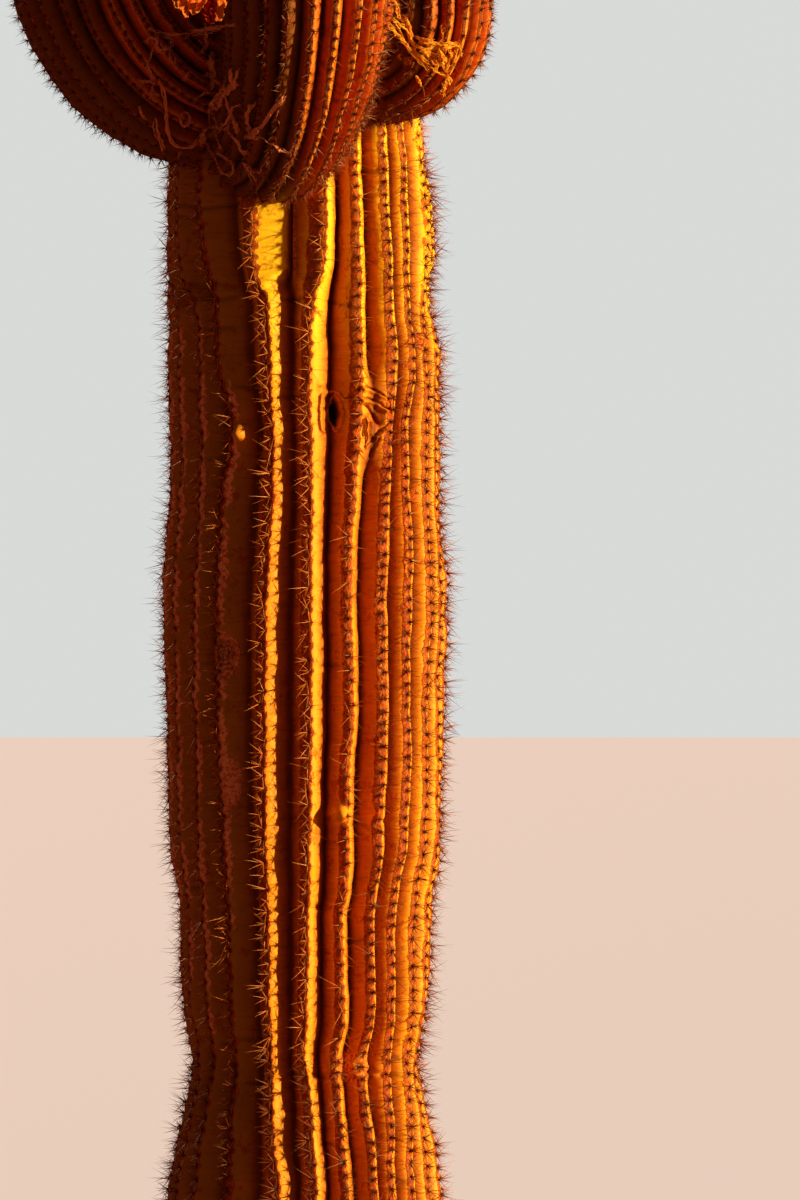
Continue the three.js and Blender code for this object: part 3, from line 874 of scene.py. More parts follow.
class Arm(Stem):
    bead_height = 0.0008
    cork_and_shade_edges = (-0.26, 0.0, 0.14)

    def __init__(self, facts):
        self.__dict__.update(facts)
        self.dome = self.tip * ARM_DOME_SHARE
        self.level = ARM_ROOT_DEPTH + self.out - self.bend
        self.turned = self.level + self.bend * np.pi / 2
        self.upright = self.top - self.height - self.bend
        self.straight = self.turned + self.upright - self.dome
        self.length = self.straight + self.dome * np.pi / 2
        self.towards = towards(self.heading)
        self.side = towards(self.heading + 90)
        self.spacing = [
            (0, ROOT_SPACING), (self.turned, BEND_SPACING), (self.turned + WIDE_AFTER, CLIMB_SPACING),
            (self.length, TIP_SPACING),
        ]
        self.radii = [
            (0, self.root), (ARM_ROOT_DEPTH, self.root), (self.turned, self.elbow),
            (self.turned + FULL_AFTER, self.full), (self.straight, self.tip),
        ]
        self.count_areoles(self.spacing)

    def centre(self, along):
        """The centre line, and the side of the arm that faces outwards and down."""
        turn = np.clip((along - self.level) / self.bend, 0, np.pi / 2)
        rise = np.maximum(0, along - self.turned)
        out = np.minimum(along, self.level) + self.bend * np.sin(turn) - ARM_ROOT_DEPTH
        sway = self.sway * np.sin(2 * np.pi * rise / self.upright) * ease(rise, 0, SWAY_AFTER)
        up = np.array([0, 0, 1.0])
        start = towards(self.bearing) * LEAVING_RADIUS
        climb = self.height + self.bend * (1 - np.cos(turn)) + rise
        middle = start + self.towards * out[..., None] + self.side * sway[..., None] + up * climb[..., None]
        outside = self.towards * np.sin(turn)[..., None] - up * np.cos(turn)[..., None]
        return middle, outside

    def fullness(self, along, rib):
        return ARM_FULLNESS

    def radius(self, along, rib):
        return through(self.radii, along)

    def depth(self, along, rib):
        ripples = ripple(along, ARM_UNEVEN_LENGTH, np.floor(rib) % self.ribs + self.seed)
        uneven = 1 + ARM_UNEVEN_DEPTH * ripples
        return through(self.radii, along) * ARM_RIB_DEPTH_SHARE * uneven

    def angle(self, along, rib):
        """The rib's angle round the arm. Crests wander by a few millimetres."""
        first = np.floor(rib)
        between = ease(rib - first, 0, 1)
        start = ripple(along, ARM_WANDER_LENGTH, first % self.ribs + self.seed)
        end = ripple(along, ARM_WANDER_LENGTH, (first + 1) % self.ribs + self.seed)
        wander = start * (1 - between) + end * between
        return 2 * np.pi * (rib + self.turn + ARM_WANDER * wander) / self.ribs

    def outward(self, along, rib):
        middle, outside = self.centre(along)
        angle = self.angle(along, rib)[..., None]
        return middle, outside * np.cos(angle) + self.side * np.sin(angle)

    def painted_sunlit(self, along, rib):
        # Painted light: the hide's sunlit colours on the sides that face the key light and high up, its
        # painted shade colours elsewhere.
        middle, way = self.outward(along, rib)
        turned = ease(way @ towards(ARM_PAINTED_SUNLIT_FACES), *ARM_PAINTED_SUNLIT_TURN)
        return np.maximum(turned, ease(middle[..., 2], *PAINTED_SUNLIT_FROM))

    def place(self, along, rib, radius):
        middle, way = self.outward(along, rib)
        return middle + way * radius[..., None]


arms = [Arm(facts) for facts in ARMS]
for arm in arms:
    print(arm.name, round(arm.length, 2), "m along,", arm.ribs, "ribs")

# %% [markdown]
# The skin could be a sphere of subdivisions with a displacement, but a grid laid by the rule is
# exact and light: its rows can be close together where the camera looks and further apart where it
# doesn't. A skin under a million points is made in NumPy and handed to Blender in one go, with the
# marks as attributes, which the colours read later.

# %% Meshes from arrays
def mesh_from(name, vertices, faces, marks, flat):
    """A smooth mesh from arrays: its faces come in groups of triangles or quads."""
    corners = np.concatenate([group.ravel() for group in faces])
    sizes = np.concatenate([np.full(len(group), group.shape[1]) for group in faces])
    mesh = bpy.data.meshes.new(name)
    mesh.vertices.add(len(vertices))
    mesh.vertices.foreach_set("co", vertices.astype(np.float32).ravel())
    mesh.loops.add(len(corners))
    mesh.loops.foreach_set("vertex_index", corners.astype(np.int32))
    mesh.polygons.add(len(sizes))
    mesh.polygons.foreach_set("loop_start", np.concatenate([[0], np.cumsum(sizes)[:-1]]).astype(np.int32))
    mesh.polygons.foreach_set("use_smooth", np.ones(len(sizes), dtype=bool))
    mesh.update(calc_edges=True)
    for mark, values in marks.items():
        attribute = mesh.attributes.new(mark, "FLOAT", "POINT")
        attribute.data.foreach_set("value", values.astype(np.float32))
    uv = mesh.uv_layers.new(name="skin")
    uv.data.foreach_set("uv", flat[corners].astype(np.float32).ravel())
    return mesh


def grid_mesh(name, points, marks, around, along, closed=False, tip=None, foot=None):
    """A mesh over a grid of points, with each mark as an attribute and a UV map in metres."""
    rows, columns = points.shape[:2]
    index = np.arange(rows * columns).reshape(rows, columns)
    right = np.roll(index, -1, axis=1) if closed else index[:, 1:]
    left = index if closed else index[:, :-1]
    quads = np.stack([left[:-1], right[:-1], right[1:], left[1:]], axis=-1).reshape(-1, 4)
    vertices = points.reshape(-1, 3)
    fans = []
    for end, row, turn in ((tip, -1, 1), (foot, 0, -1)):
        if end is not None:
            fan = np.stack([left[row], right[row], np.full(left.shape[1], len(vertices))], axis=-1)
            fans.append(fan[:, ::turn])
            vertices = np.vstack([vertices, end])
    ends = np.zeros(len(vertices) - rows * columns)
    marks = {mark: np.append(values.ravel(), ends) for mark, values in marks.items()}
    flat = np.stack(np.broadcast_arrays(around, along), axis=-1).reshape(-1, 2)
    flat = np.vstack([flat, np.zeros((len(ends), 2))])
    return mesh_from(name, vertices, [quads] + fans, marks, flat)


print("meshes from arrays: ready")

# %% Pieces and skins
# How broad a rib is in the UV map, in metres.
RIB_BREADTH = 0.07


def add_piece(name, mesh, material, replaced=()):
    """Puts a finished mesh into the scene as a piece of the plant."""
    piece = bpy.data.objects.new(name, mesh)
    bpy.context.collection.objects.link(piece)
    mesh.materials.clear()
    mesh.materials.append(material)
    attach(piece, BODY)
    if replaced:
        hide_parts(*replaced)
    return piece


def skin_mesh(stem, name, rows, ribs, per_rib, closed=False, tip=None, foot=None):
    """The skin of a stem over some of its ribs. Both its edges lie in valleys."""
    first, count = ribs
    steps = count * per_rib + (0 if closed else 1)
    rib = first - 0.5 + np.arange(steps) / per_rib
    points, marks = stem.skin(rows[:, None], rib[None, :], COARSE)
    around = rib[None, :] * RIB_BREADTH
    mesh = grid_mesh(name, points, marks, around, rows[:, None], closed, tip, foot)
    print(name, len(mesh.polygons) * 2, "triangles")
    return mesh


def steps_between(*stretches):
    """Distances in even steps: each stretch is a start, an end and a step size."""
    parts = [
        np.linspace(start, end, round((end - start) / step), endpoint=False)
        for start, end, step in stretches]
    return np.append(np.concatenate(parts), stretches[-1][1])


print("pieces and skins: ready")

# %% [markdown]
# Shader maths reads best as maths. A Wire wraps a socket, so that 1 - mask or a * b adds the Math
# nodes by itself, and one method adds any other node: its settings first, then its sockets.

# %% Node helpers
class Wire:
    """One output socket, with arithmetic."""

    def __init__(self, graph, socket):
        self.graph = graph
        self.socket = socket

    def math(self, operation, a, b=0.0):
        return self.graph.add("ShaderNodeMath", {"operation": operation}, {0: a, 1: b})

    def __add__(self, other):
        return self.math("ADD", self, other)

    def __sub__(self, other):
        return self.math("SUBTRACT", self, other)

    def __rsub__(self, other):
        return self.math("SUBTRACT", other, self)

    def __mul__(self, other):
        return self.math("MULTIPLY", self, other)

    def __truediv__(self, other):
        return self.math("DIVIDE", self, other)


class Graph:
    """Adds nodes to a node tree."""

    def __init__(self, tree):
        self.tree = tree

    def add(self, kind, settings=None, inputs=None, output=None):
        """A node of this kind, as the Wire of its output, which is the first one unless named."""
        node = self.tree.nodes.new(kind)
        for key, value in (settings or {}).items():
            setattr(node, key, value)
        for key, value in (inputs or {}).items():
            socket = self.find(node.inputs, key)
            if isinstance(value, Wire):
                self.tree.links.new(value.socket, socket)
            else:
                socket.default_value = value
        return Wire(self, self.find(node.outputs, output)) if node.outputs else node

    def find(self, sockets, key):
        """A socket by its number or name, or the first one in use."""
        if isinstance(key, int):
            return sockets[key]
        usable = [socket for socket in sockets if socket.enabled]
        return next(socket for socket in usable if key in (None, socket.name))

    def mark(self, name):
        """A number that the mesh stores at each of its points."""
        return self.add("ShaderNodeAttribute", {"attribute_name": name}, output="Fac")

    def blend(self, factor, low, high):
        """One colour turning into another."""
        settings = {"data_type": "RGBA", "clamp_factor": True}
        return self.add("ShaderNodeMix", settings, {"Factor": factor, "A": low, "B": high})

    def step(self, value, start, end):
        """0 below start, 1 above end and smooth between them."""
        settings = {"interpolation_type": "SMOOTHSTEP"}
        inputs = {"Value": value, "From Min": start, "From Max": end}
        return self.add("ShaderNodeMapRange", settings, inputs)

    def noise(self, where, scale, detail, roughness):
        inputs = {"Vector": where, "Scale": scale, "Detail": detail, "Roughness": roughness}
        return self.add("ShaderNodeTexNoise", {}, inputs, output="Fac")

    def streaks(self, where, stretch, scale, detail, roughness):
        """Noise whose axes are scaled first, so that it is drawn out along one of them."""
        stretched = self.add("ShaderNodeVectorMath", {"operation": "MULTIPLY"}, {0: where, 1: stretch})
        return self.noise(stretched, scale, detail, roughness)

    def bump(self, distance, height):
        return self.add("ShaderNodeBump", {}, {"Strength": 0.6, "Distance": distance, "Height": height})


def srgb(red, green, blue):
    """A colour as a screen shows it, from 0 to 255, in the linear values that Blender uses."""
    parts = [part / 255 for part in (red, green, blue)]
    linear = [part / 12.92 if part <= 0.04045 else ((part + 0.055) / 1.055) ** 2.4 for part in parts]
    return (*linear, 1.0)


def new_material(name):
    material = bpy.data.materials.new(name)
    material.use_nodes = True
    material.node_tree.nodes.clear()
    return material, Graph(material.node_tree)


def finish_material(graph, inputs):
    shader = graph.add("ShaderNodeBsdfPrincipled", {}, inputs)
    graph.add("ShaderNodeOutputMaterial", {}, {"Surface": shader})


print("node helpers ready")

# %% [markdown]
# Skin: a waxy, golden olive hide in a low sun. Its crests are bright and yellow, which is painted sunlight
# and shows only on the side that the key light reaches, where the flanks are amber; away from that light
# the hide takes darker painted shade colours. Its valleys are umber, painted shade in the pleats.
# Brick red runs beside the crests, partly cork and partly painted shade on their left sides, felt
# darkens the skin round each areole, and cork grows over old scars, in lit and shaded copies.
# Creases, slits and the hollow are painted dark as shade. Fine wrinkles run across the crests, closer
# together than any mesh can carry, so they are a bump. All the bands follow the marks that the rule
# stored, so they stay on the ribs as the stems bend.

# %% The hide
def skin_material(name, colours, crest_sun_edge, young_from, roughness):
    """A hide. A pair says where across a rib the crests' painted sunlight starts and is full, 0 valley to 1
    crest.
    """
    material, graph = new_material(name)
    paint = {part: srgb(*values) for part, values in colours.items()}
    where = graph.add("ShaderNodeTexCoord", output="Object")
    uv = graph.add("ShaderNodeUVMap", {"uv_map": "skin"})
    height_there = graph.add("ShaderNodeSeparateXYZ", {}, {"Vector": where}, output="Z")
    crest, painted_sunlit = graph.mark("crest"), graph.mark("painted_sunlit")

    clouds = graph.noise(where, 5.0, 4.0, 0.55)
    mottle = graph.noise(where, 38.0, 4.0, 0.6)
    grain = graph.noise(where, 240.0, 2.0, 0.6)
    speckle = graph.noise(where, 150.0, 3.0, 0.7)
    folds = graph.streaks(uv, (14.0, 120.0, 1.0), 1.0, 3.0, 0.55)
    wrinkles = graph.streaks(uv, (22.0, 260.0, 1.0), 1.0, 2.0, 0.5)
    veins = graph.streaks(uv, (60.0, 9.0, 1.0), 1.0, 3.0, 0.6)

    # Bands from the valley to the crest, with ragged edges.
    ragged = crest + (mottle - 0.5) * 0.3 + (clouds - 0.5) * 0.2
    right_flank = graph.step(graph.mark("side") + (clouds - 0.5) * 1.2, 0.0, 0.5) * 0.7
    # Lit and shaded copies of the hide: its sunlit colours where the key light falls, the shade colour
    # elsewhere.
    hide = graph.blend(painted_sunlit, paint["shade"], graph.blend(right_flank, paint["flank"], paint["olive"]))
    # Towards the valleys the hide turns umber, which is painted shade in the pleats.
    colour = graph.blend(graph.step(ragged, -0.02, 0.34), paint["valley"], hide)
    high_up = graph.step(height_there + clouds * 0.2, *young_from)
    fresh = high_up.math("MAXIMUM", high_up, graph.mark("fresh"))
    new_hide = fresh * graph.step(ragged, 0.1, 0.6) * painted_sunlit
    colour = graph.blend(new_hide * 0.8, colour, paint["young"])
    colour = graph.blend(graph.step(folds, 0.5, 0.7) * (1 - crest) * 0.55, colour, paint["valley"])
    # The crests' gold is painted sunlight, only where the painted sunlit mark is.
    painted_crest_sun = graph.step(ragged + (wrinkles - 0.5) * 0.3, *crest_sun_edge) * painted_sunlit
    colour = graph.blend(painted_crest_sun, colour, graph.blend(fresh, paint["painted_sunlit_crest"], paint["painted_sunlit_young_crest"]))

    # Red blotches and veins, then the red beside the areoles, partly cork and partly painted shade.
    blotches = graph.step(mottle + (speckle - 0.5) * 0.5, 0.56, 0.68)
    colour = graph.blend(blotches * 0.52, colour, paint["red"])
    colour = graph.blend(graph.step(veins, 0.58, 0.74) * 0.3, colour, paint["red"])
    cork_and_shade_mask = graph.step(graph.mark("cork_and_shade") + (speckle - 0.5) + (mottle - 0.5) * 1.7, 0.3, 0.62)
    cork_and_shade_colour = graph.blend(graph.step(speckle, 0.5, 0.62), paint["red"], paint["rose"])
    colour = graph.blend(cork_and_shade_mask * 0.88, colour, cork_and_shade_colour)

    # Bark over old scars, in lit and shaded copies, the dark ring round each areole, and painted shade in
    # creases, slits and the hollow.
    cork = graph.step(graph.mark("scar") + (mottle - 0.5) * 0.6 + (speckle - 0.5) * 0.4, 0.3, 0.55)
    # The bark has a lit copy and a shaded copy: where the painted sunlit mark is low it is painted paler and
    # pinker, to show in the shade.
    dark_bark = graph.blend(painted_sunlit, srgb(200, 88, 66), srgb(152, 44, 16))
    pale_bark = graph.blend(painted_sunlit, srgb(252, 164, 140), srgb(240, 132, 52))
    bark = graph.blend(graph.step(speckle, 0.38, 0.54), dark_bark, pale_bark)
    colour = graph.blend(cork * 0.92, colour, bark)
    colour = graph.blend(graph.mark("areole") * 0.75, colour, srgb(64, 16, 9))
    # Painted shade in creases, slits and the hollow.
    colour = graph.blend(graph.mark("crease") * 0.92, colour, srgb(26, 7, 4))

    relief = wrinkles * 0.10 + folds * 0.22 + mottle * 0.35 + grain * 0.12 + speckle * (cork_and_shade_mask + cork) * 1.3
    dull = graph.step(mottle, 0.3, 0.7) * 0.14 + cork * 0.2 + roughness
    finish_material(graph, {
        "Base Color": colour, "Roughness": dull,
        "Normal": graph.bump(0.0035, relief), "Specular IOR Level": 0.25})
    return material


# %% Skin materials
# The crests' gold colours are painted sunlight, the shade colour is the hide's painted shade away from the
# key light, the valley colour is painted shade in the pleats, and the red and rose beside the areoles are
# partly painted shade.
TRUNK_COLOURS = {
    "painted_sunlit_crest": (255, 156, 30), "painted_sunlit_young_crest": (255, 196, 28), "flank": (200, 100, 20),
    "shade": (174, 114, 28), "valley": (118, 50, 14), "olive": (184, 100, 24),
    "young": (246, 164, 32), "red": (150, 28, 10), "rose": (216, 84, 28),
}
ARM_COLOURS = {
    "painted_sunlit_crest": (250, 148, 42), "painted_sunlit_young_crest": (250, 156, 42), "flank": (202, 78, 22),
    "shade": (120, 64, 18), "valley": (40, 13, 5), "olive": (178, 80, 22),
    "young": (204, 126, 34), "red": (122, 24, 10), "rose": (206, 84, 38),
}
trunk_skin = skin_material(
    "trunk_hide", TRUNK_COLOURS, crest_sun_edge=(0.3, 0.8), young_from=(1.85, 2.2), roughness=0.55)
arm_skin = skin_material(
    "arm_hide", ARM_COLOURS, crest_sun_edge=(0.46, 0.88), young_from=(2.74, 3.2), roughness=0.52)
print("materials", trunk_skin.name, arm_skin.name)

# %% [markdown]
# The trunk's skin comes in four sheets that share their rows and seams: two halves of the ribs that
# face the viewer, the ribs behind, and the trunk above the arms. Two small patches at a millimetre's
# step carry the old wounds. A patch dips under the coarse sheet at its edge, and the sheet dips under
# the patch inside it, so neither shows a rim. A fan closes the flat cut at the ground.

# %% Trunk
LOW_TOP = 2.65
FRONT_COLUMNS = 24
OTHER_COLUMNS = 8
low_rows = steps_between((0, 0.44, 0.011), (0.44, 2.3, 0.0038), (2.3, LOW_TOP, 0.009))
high_rows = steps_between((LOW_TOP, trunk.straight, 0.013), (trunk.straight, trunk.length, 0.009))[:-1]
tip = trunk.place(np.array(TRUNK_TOP), np.array(0.0), np.array(0.0))
SHEETS = [
    ("trunk_front_left", low_rows, (0, 6), FRONT_COLUMNS, False, None),
    ("trunk_front_right", low_rows, (6, 6), FRONT_COLUMNS, False, None),
    ("trunk_back", low_rows, (12, 11), OTHER_COLUMNS, False, None),
    ("trunk_upper", high_rows, (0, RIBS_ROUND_TRUNK), OTHER_COLUMNS, True, tip),
]
for name, rows, ribs, columns, closed, end in SHEETS:
    sheet = skin_mesh(trunk, name, rows, ribs, columns, closed, end)
    add_piece(name, sheet, trunk_skin, ("trunk",))

# %% Patches
for name, (low, high, start, end) in PATCHES.items():
    heights = np.linspace(low, high, round((high - low) / PATCH_STEP))[:, None]
    bearings = np.linspace(start, end, round((end - start) * METRES_PER_DEGREE / PATCH_STEP))[None, :]
    heights, bearings = np.broadcast_arrays(heights, bearings)
    rib = trunk.rib_at(heights, bearings)
    points, marks = trunk.skin(heights, rib, name)
    patch = grid_mesh("trunk_" + name, points, marks, rib * RIB_BREADTH, heights)
    add_piece("trunk_" + name, patch, trunk_skin, ("trunk",))
    print(name, len(patch.polygons) * 2, "triangles")

# %% The flat cut at the ground
rim_ribs = -0.5 + np.arange(RIBS_ROUND_TRUNK * OTHER_COLUMNS) / OTHER_COLUMNS
rim, rim_marks = trunk.skin(np.zeros((1, 1)), rim_ribs[None, :], COARSE)
inner = rim * np.array([0.5, 0.5, 1])
cut_marks = {mark: np.repeat(values, 2, axis=0) * 0.5 for mark, values in rim_marks.items()}
around_cut = rim_ribs[None, :] * RIB_BREADTH
cut = grid_mesh("trunk_cut", np.concatenate([inner, rim]), cut_marks, around_cut, np.zeros((2, 1)),
                closed=True, foot=np.array([0.0, 0, 0]))
cut.flip_normals()
add_piece("trunk_cut", cut, trunk_skin, ("trunk",))
print("cut", len(cut.polygons), "faces")

# %% [markdown]
# Each arm is one closed skin from inside the trunk to its tip. It stands for two CAD nodes, the
# elbow and the upright, so the pleats run through the bend without a joint.

# %% Arms
ARM_COLUMNS_PER_RIB = 10
FINE_ABOVE_BEND = 0.12
for arm in arms:
    fine_end = arm.turned + FINE_ABOVE_BEND
    rows = steps_between(
        (0, fine_end, 0.006), (fine_end, arm.straight, 0.016), (arm.straight, arm.length, 0.009))
    root = arm.centre(np.array(0.0))[0]
    arm_tip = arm.centre(np.array(arm.turned + arm.upright))[0]
    mesh = skin_mesh(arm, arm.name, rows[:-1], (0, arm.ribs), ARM_COLUMNS_PER_RIB, True, arm_tip, root)
    add_piece(arm.name, mesh, arm_skin, (arm.name + "_elbow", arm.name + "_upright"))

# %% [markdown]
# Dry litter hangs where the arms meet the trunk: split fruit husks, torn fibres and a bundle of
# straw, caught on the spines since they fell. Each strand is traced in the picture. A line of sight
# finds the skin behind every traced point, and the strand lies a little in front of it. Like a
# string, it spans the hollows between the ribs and touches where they swell.

# %% The litter's measures
RINGS = 24
SIDES = 6
# How far in the picture, in its pixels, the nearest skin is looked for, and companions fray.
SIGHT_REACH = 2.6
FRAY = 3.4
FRAY_MOST = 1.6
# How far in front of the skin the strands lie, and how much that differs between them.
LITTER_LIFT = 0.014
LITTER_LIFT_SPREAD = 0.003
# How far a strand may sink between two places, and how steeply it may come forward.
SAG = 0.006
STEEPEST = 0.05
CRINKLE = 0.0019
COMPANION_WIDTH = 0.55
HUSK_CURL, FIBRE_CURL = 0.22, 0.05
# Kinds of strand: width in mm, thickness as a share of it, how many thin companions each one has.
KINDS = {
    "fibre": (2.8, 0.5, 3), "strap": (5.5, 0.25, 3), "husk": (12.0, 0.12, 3), "wisp": (1.6, 0.8, 2),
    "straw": (2.6, 0.6, 4), "blade": (4.6, 0.25, 4),
}

# %% Strands between the arms
# Strands of husk and fibre between the left and the front arm, in the 800 by 1200 picture.
DARK_STRANDS = [
    ("fibre", [(148, 28), (153.5, 30.5), (160, 33), (168, 32.5), (173, 35.5), (180, 34), (187, 32.5),
               (190, 35), (185, 40)]),
    ("strap", [(190, 31), (200, 30), (209, 28), (218, 27), (227, 25.5), (235, 24)]),
    ("fibre", [(192, 33), (205, 32.5), (214, 30.5), (220, 28.5)]),
    ("strap", [(205, 21), (205, 30), (206.5, 39), (206, 46), (201.5, 53)]),
    ("wisp", [(199, 40), (203.5, 46), (206, 49)]),
    ("fibre", [(144, 41), (148, 43.5), (146, 38), (153.5, 37), (158, 41), (154.5, 46), (158, 52),
               (164.5, 50), (167, 46)]),
    ("fibre", [(163.5, 37), (167.5, 38), (172, 41), (171, 45), (167, 50), (160, 44)]),
    ("wisp", [(153.5, 47), (151, 55), (150, 60)]),
    ("wisp", [(170, 47), (169, 58), (174, 64), (176, 60), (175, 57)]),
    ("husk", [(211, 53), (211, 62), (213, 72), (212.5, 88)]),
    ("husk", [(206, 73), (212, 77), (219, 80)]),
    ("wisp", [(215.5, 80.5), (223, 87), (228, 90)]),
    ("strap", [(230, 70), (230.5, 80), (234, 84), (237, 74), (238, 70)]),
    ("husk", [(236, 83), (229, 88), (222, 96)]),
    ("fibre", [(225.5, 80), (224, 89), (225.5, 100), (228.5, 111), (229.5, 116)]),
    ("husk", [(223, 90), (217, 98), (212, 106), (210, 113)]),
    ("husk", [(222, 96), (220, 104), (216, 111)]),
    ("fibre", [(210, 103), (211, 111), (213.5, 119), (218.5, 128)]),
    ("wisp", [(209, 103), (209.5, 127)]),
    ("fibre", [(239.5, 105), (231, 106.5), (231, 111), (230, 117), (225.5, 123), (222, 127), (219, 130)]),
    ("strap", [(231, 114), (235, 123), (237, 134)]),
    ("fibre", [(209, 127), (216.5, 127), (221, 130), (227.5, 129.5), (228.5, 124)]),
    ("husk", [(247, 128), (252, 133), (257, 139)]),
    ("husk", [(258, 130), (251, 134), (246, 139)]),
    ("strap", [(250, 131), (246, 120), (247, 113), (250.5, 105.5), (253.5, 104.5)]),
    ("strap", [(254, 130), (264.5, 124), (268, 117), (274, 107), (279, 103), (283, 97)]),
    ("wisp", [(258, 136), (269, 143), (276.5, 147), (279.5, 150), (287, 153.5), (291.5, 155.5)]),
    ("wisp", [(276.5, 147), (279.5, 152)]),
    ("strap", [(227, 130), (233, 137), (238.5, 144), (242, 151.5), (248, 153.5)]),
    ("husk", [(205, 128), (203, 137), (202.5, 145)]),
    ("fibre", [(207, 141.5), (209, 148), (212, 155.5)]),
    ("fibre", [(215.5, 132), (219, 144), (222, 152.5)]),
    ("fibre", [(216, 152.5), (224, 156.5), (228, 160), (235, 164)]),
    ("fibre", [(214.5, 156), (217.5, 166.5), (222, 174), (230.5, 175), (233, 168.5), (232, 163)]),
    ("fibre", [(243, 163), (249, 170), (254.5, 180.5)]),
    ("wisp", [(253.5, 171), (260, 173), (261.5, 166.5)]),
    ("strap", [(158, 80.5), (162, 89), (164, 97), (165.5, 106.5), (166.5, 120), (167.5, 134), (172, 144),
               (179.5, 150), (187, 148), (194, 146), (199, 137)]),
    ("strap", [(153.5, 120), (156, 134), (161, 143.5), (163, 152.5)]),
    ("fibre", [(181, 114), (180, 121), (183, 127.5), (188.5, 126), (190.5, 116.5), (187, 112), (181, 113)]),
    ("fibre", [(138, 80.5), (143, 82), (149, 81.5), (155.5, 83)]),
    ("fibre", [(147, 61), (149, 68.5), (153.5, 80.5)]),
    ("wisp", [(152.5, 83), (151.5, 92.5), (149, 100)]),
    ("wisp", [(153.5, 93.5), (160, 95)]),
    ("strap", [(139.5, 106), (141, 112), (143.5, 117.5)]),
    ("fibre", [(194, 100), (200, 96), (205.5, 92.5), (212, 93.5)]),
    ("wisp", [(183, 81), (187, 74), (190.5, 71)]),
    ("wisp", [(179.5, 151.5), (178, 159)]),
]

# %% Straw in the crook of the right arm
STRAW_STRANDS = [
    ("straw", [(387.5, 25), (393, 30), (398, 37), (403, 41), (408, 48), (414, 56), (420, 64), (426, 69),
               (429, 70)]),
    ("straw", [(391, 24.5), (397, 33), (402, 40), (409, 49), (416, 56), (423, 62), (428, 67)]),
    ("straw", [(393, 19), (396, 24), (400, 30), (403, 38), (408, 47), (414, 52), (420, 57), (426, 62),
               (430, 65)]),
    ("straw", [(396, 19.5), (402, 25), (407, 31), (410, 36), (409, 43), (409, 48)]),
    ("straw", [(399, 17), (404, 22), (408, 29), (410, 36), (412, 44), (413, 50), (419, 54), (425, 58),
               (430, 62)]),
    ("blade", [(403, 15), (407, 20), (409, 26), (410, 33), (411, 40), (415, 46)]),
    ("blade", [(395, 0), (396, 9), (398, 18)]),
    ("straw", [(399, 0), (399.5, 10), (399, 19)]),
    ("blade", [(417, 46), (421, 50), (428, 49), (434, 45.5), (440, 45), (445, 46.5)]),
    ("blade", [(419, 41.5), (425, 43), (431, 43.5), (438, 44), (445, 45), (451, 44), (457, 44)]),
    ("straw", [(417, 37.5), (423, 40.5), (428, 40), (432, 41)]),
    ("blade", [(421, 50), (430, 50.5), (438, 49), (446, 48), (455, 47), (459, 46)]),
    ("blade", [(439, 49), (441, 54), (442, 60), (444, 66), (445, 70)]),
    ("blade", [(443, 50), (446, 58), (447, 65), (446, 71)]),
    ("straw", [(448, 50), (452, 56), (455, 60)]),
    ("straw", [(455, 47), (452, 54), (448, 60), (447, 68)]),
    ("straw", [(459, 46), (457, 52), (454, 58), (452, 66)]),
    ("straw", [(428, 52), (432, 56), (436, 62), (438, 68)]),
    ("straw", [(424, 52), (430, 58), (434, 64), (438, 67)]),
    ("blade", [(422, 52), (430, 54), (438, 57), (443, 62)]),
    ("straw", [(431, 67), (436, 72), (441, 74), (446, 76), (449, 80), (450, 85)]),
    ("straw", [(447, 75), (446, 82), (444, 88), (442, 94), (444, 97)]),
    ("blade", [(447, 76), (450, 79), (451, 83)]),
    ("blade", [(443, 83), (444, 88), (442, 92)]),
    ("wisp", [(400, 54), (399.5, 57), (401, 60)]),
    ("wisp", [(405.5, 57), (406, 66)]),
    ("wisp", [(411, 56), (408, 60), (411, 62), (410, 65)]),
    ("blade", [(416, 76), (418, 80), (421, 84)]),
    ("wisp", [(440.5, 26), (442, 31), (441.5, 37), (439.5, 42)]),
    ("wisp", [(459, 46), (461, 52), (462, 57)]),
]
print(len(DARK_STRANDS), "strands between the arms,", len(STRAW_STRANDS), "of straw")

# %% [markdown]
# A strand's depth is read off the skins: their points are seen from the camera, and the nearest of
# them around a traced place says how far off the skin is there.

# %% Depth behind a place in the picture
SCAN_STEP = 0.006
SCAN_TRUNK = (2.0, 2.8)
TRUNK_RIB_STEP, ARM_RIB_STEP = 0.1, 0.12
SCAN_ARM_FROM, SCAN_ABOVE_BEND = 0.1, 0.4
# The arms that the camera sees, which come first in the list of arms.
ARMS_IN_SIGHT = 3


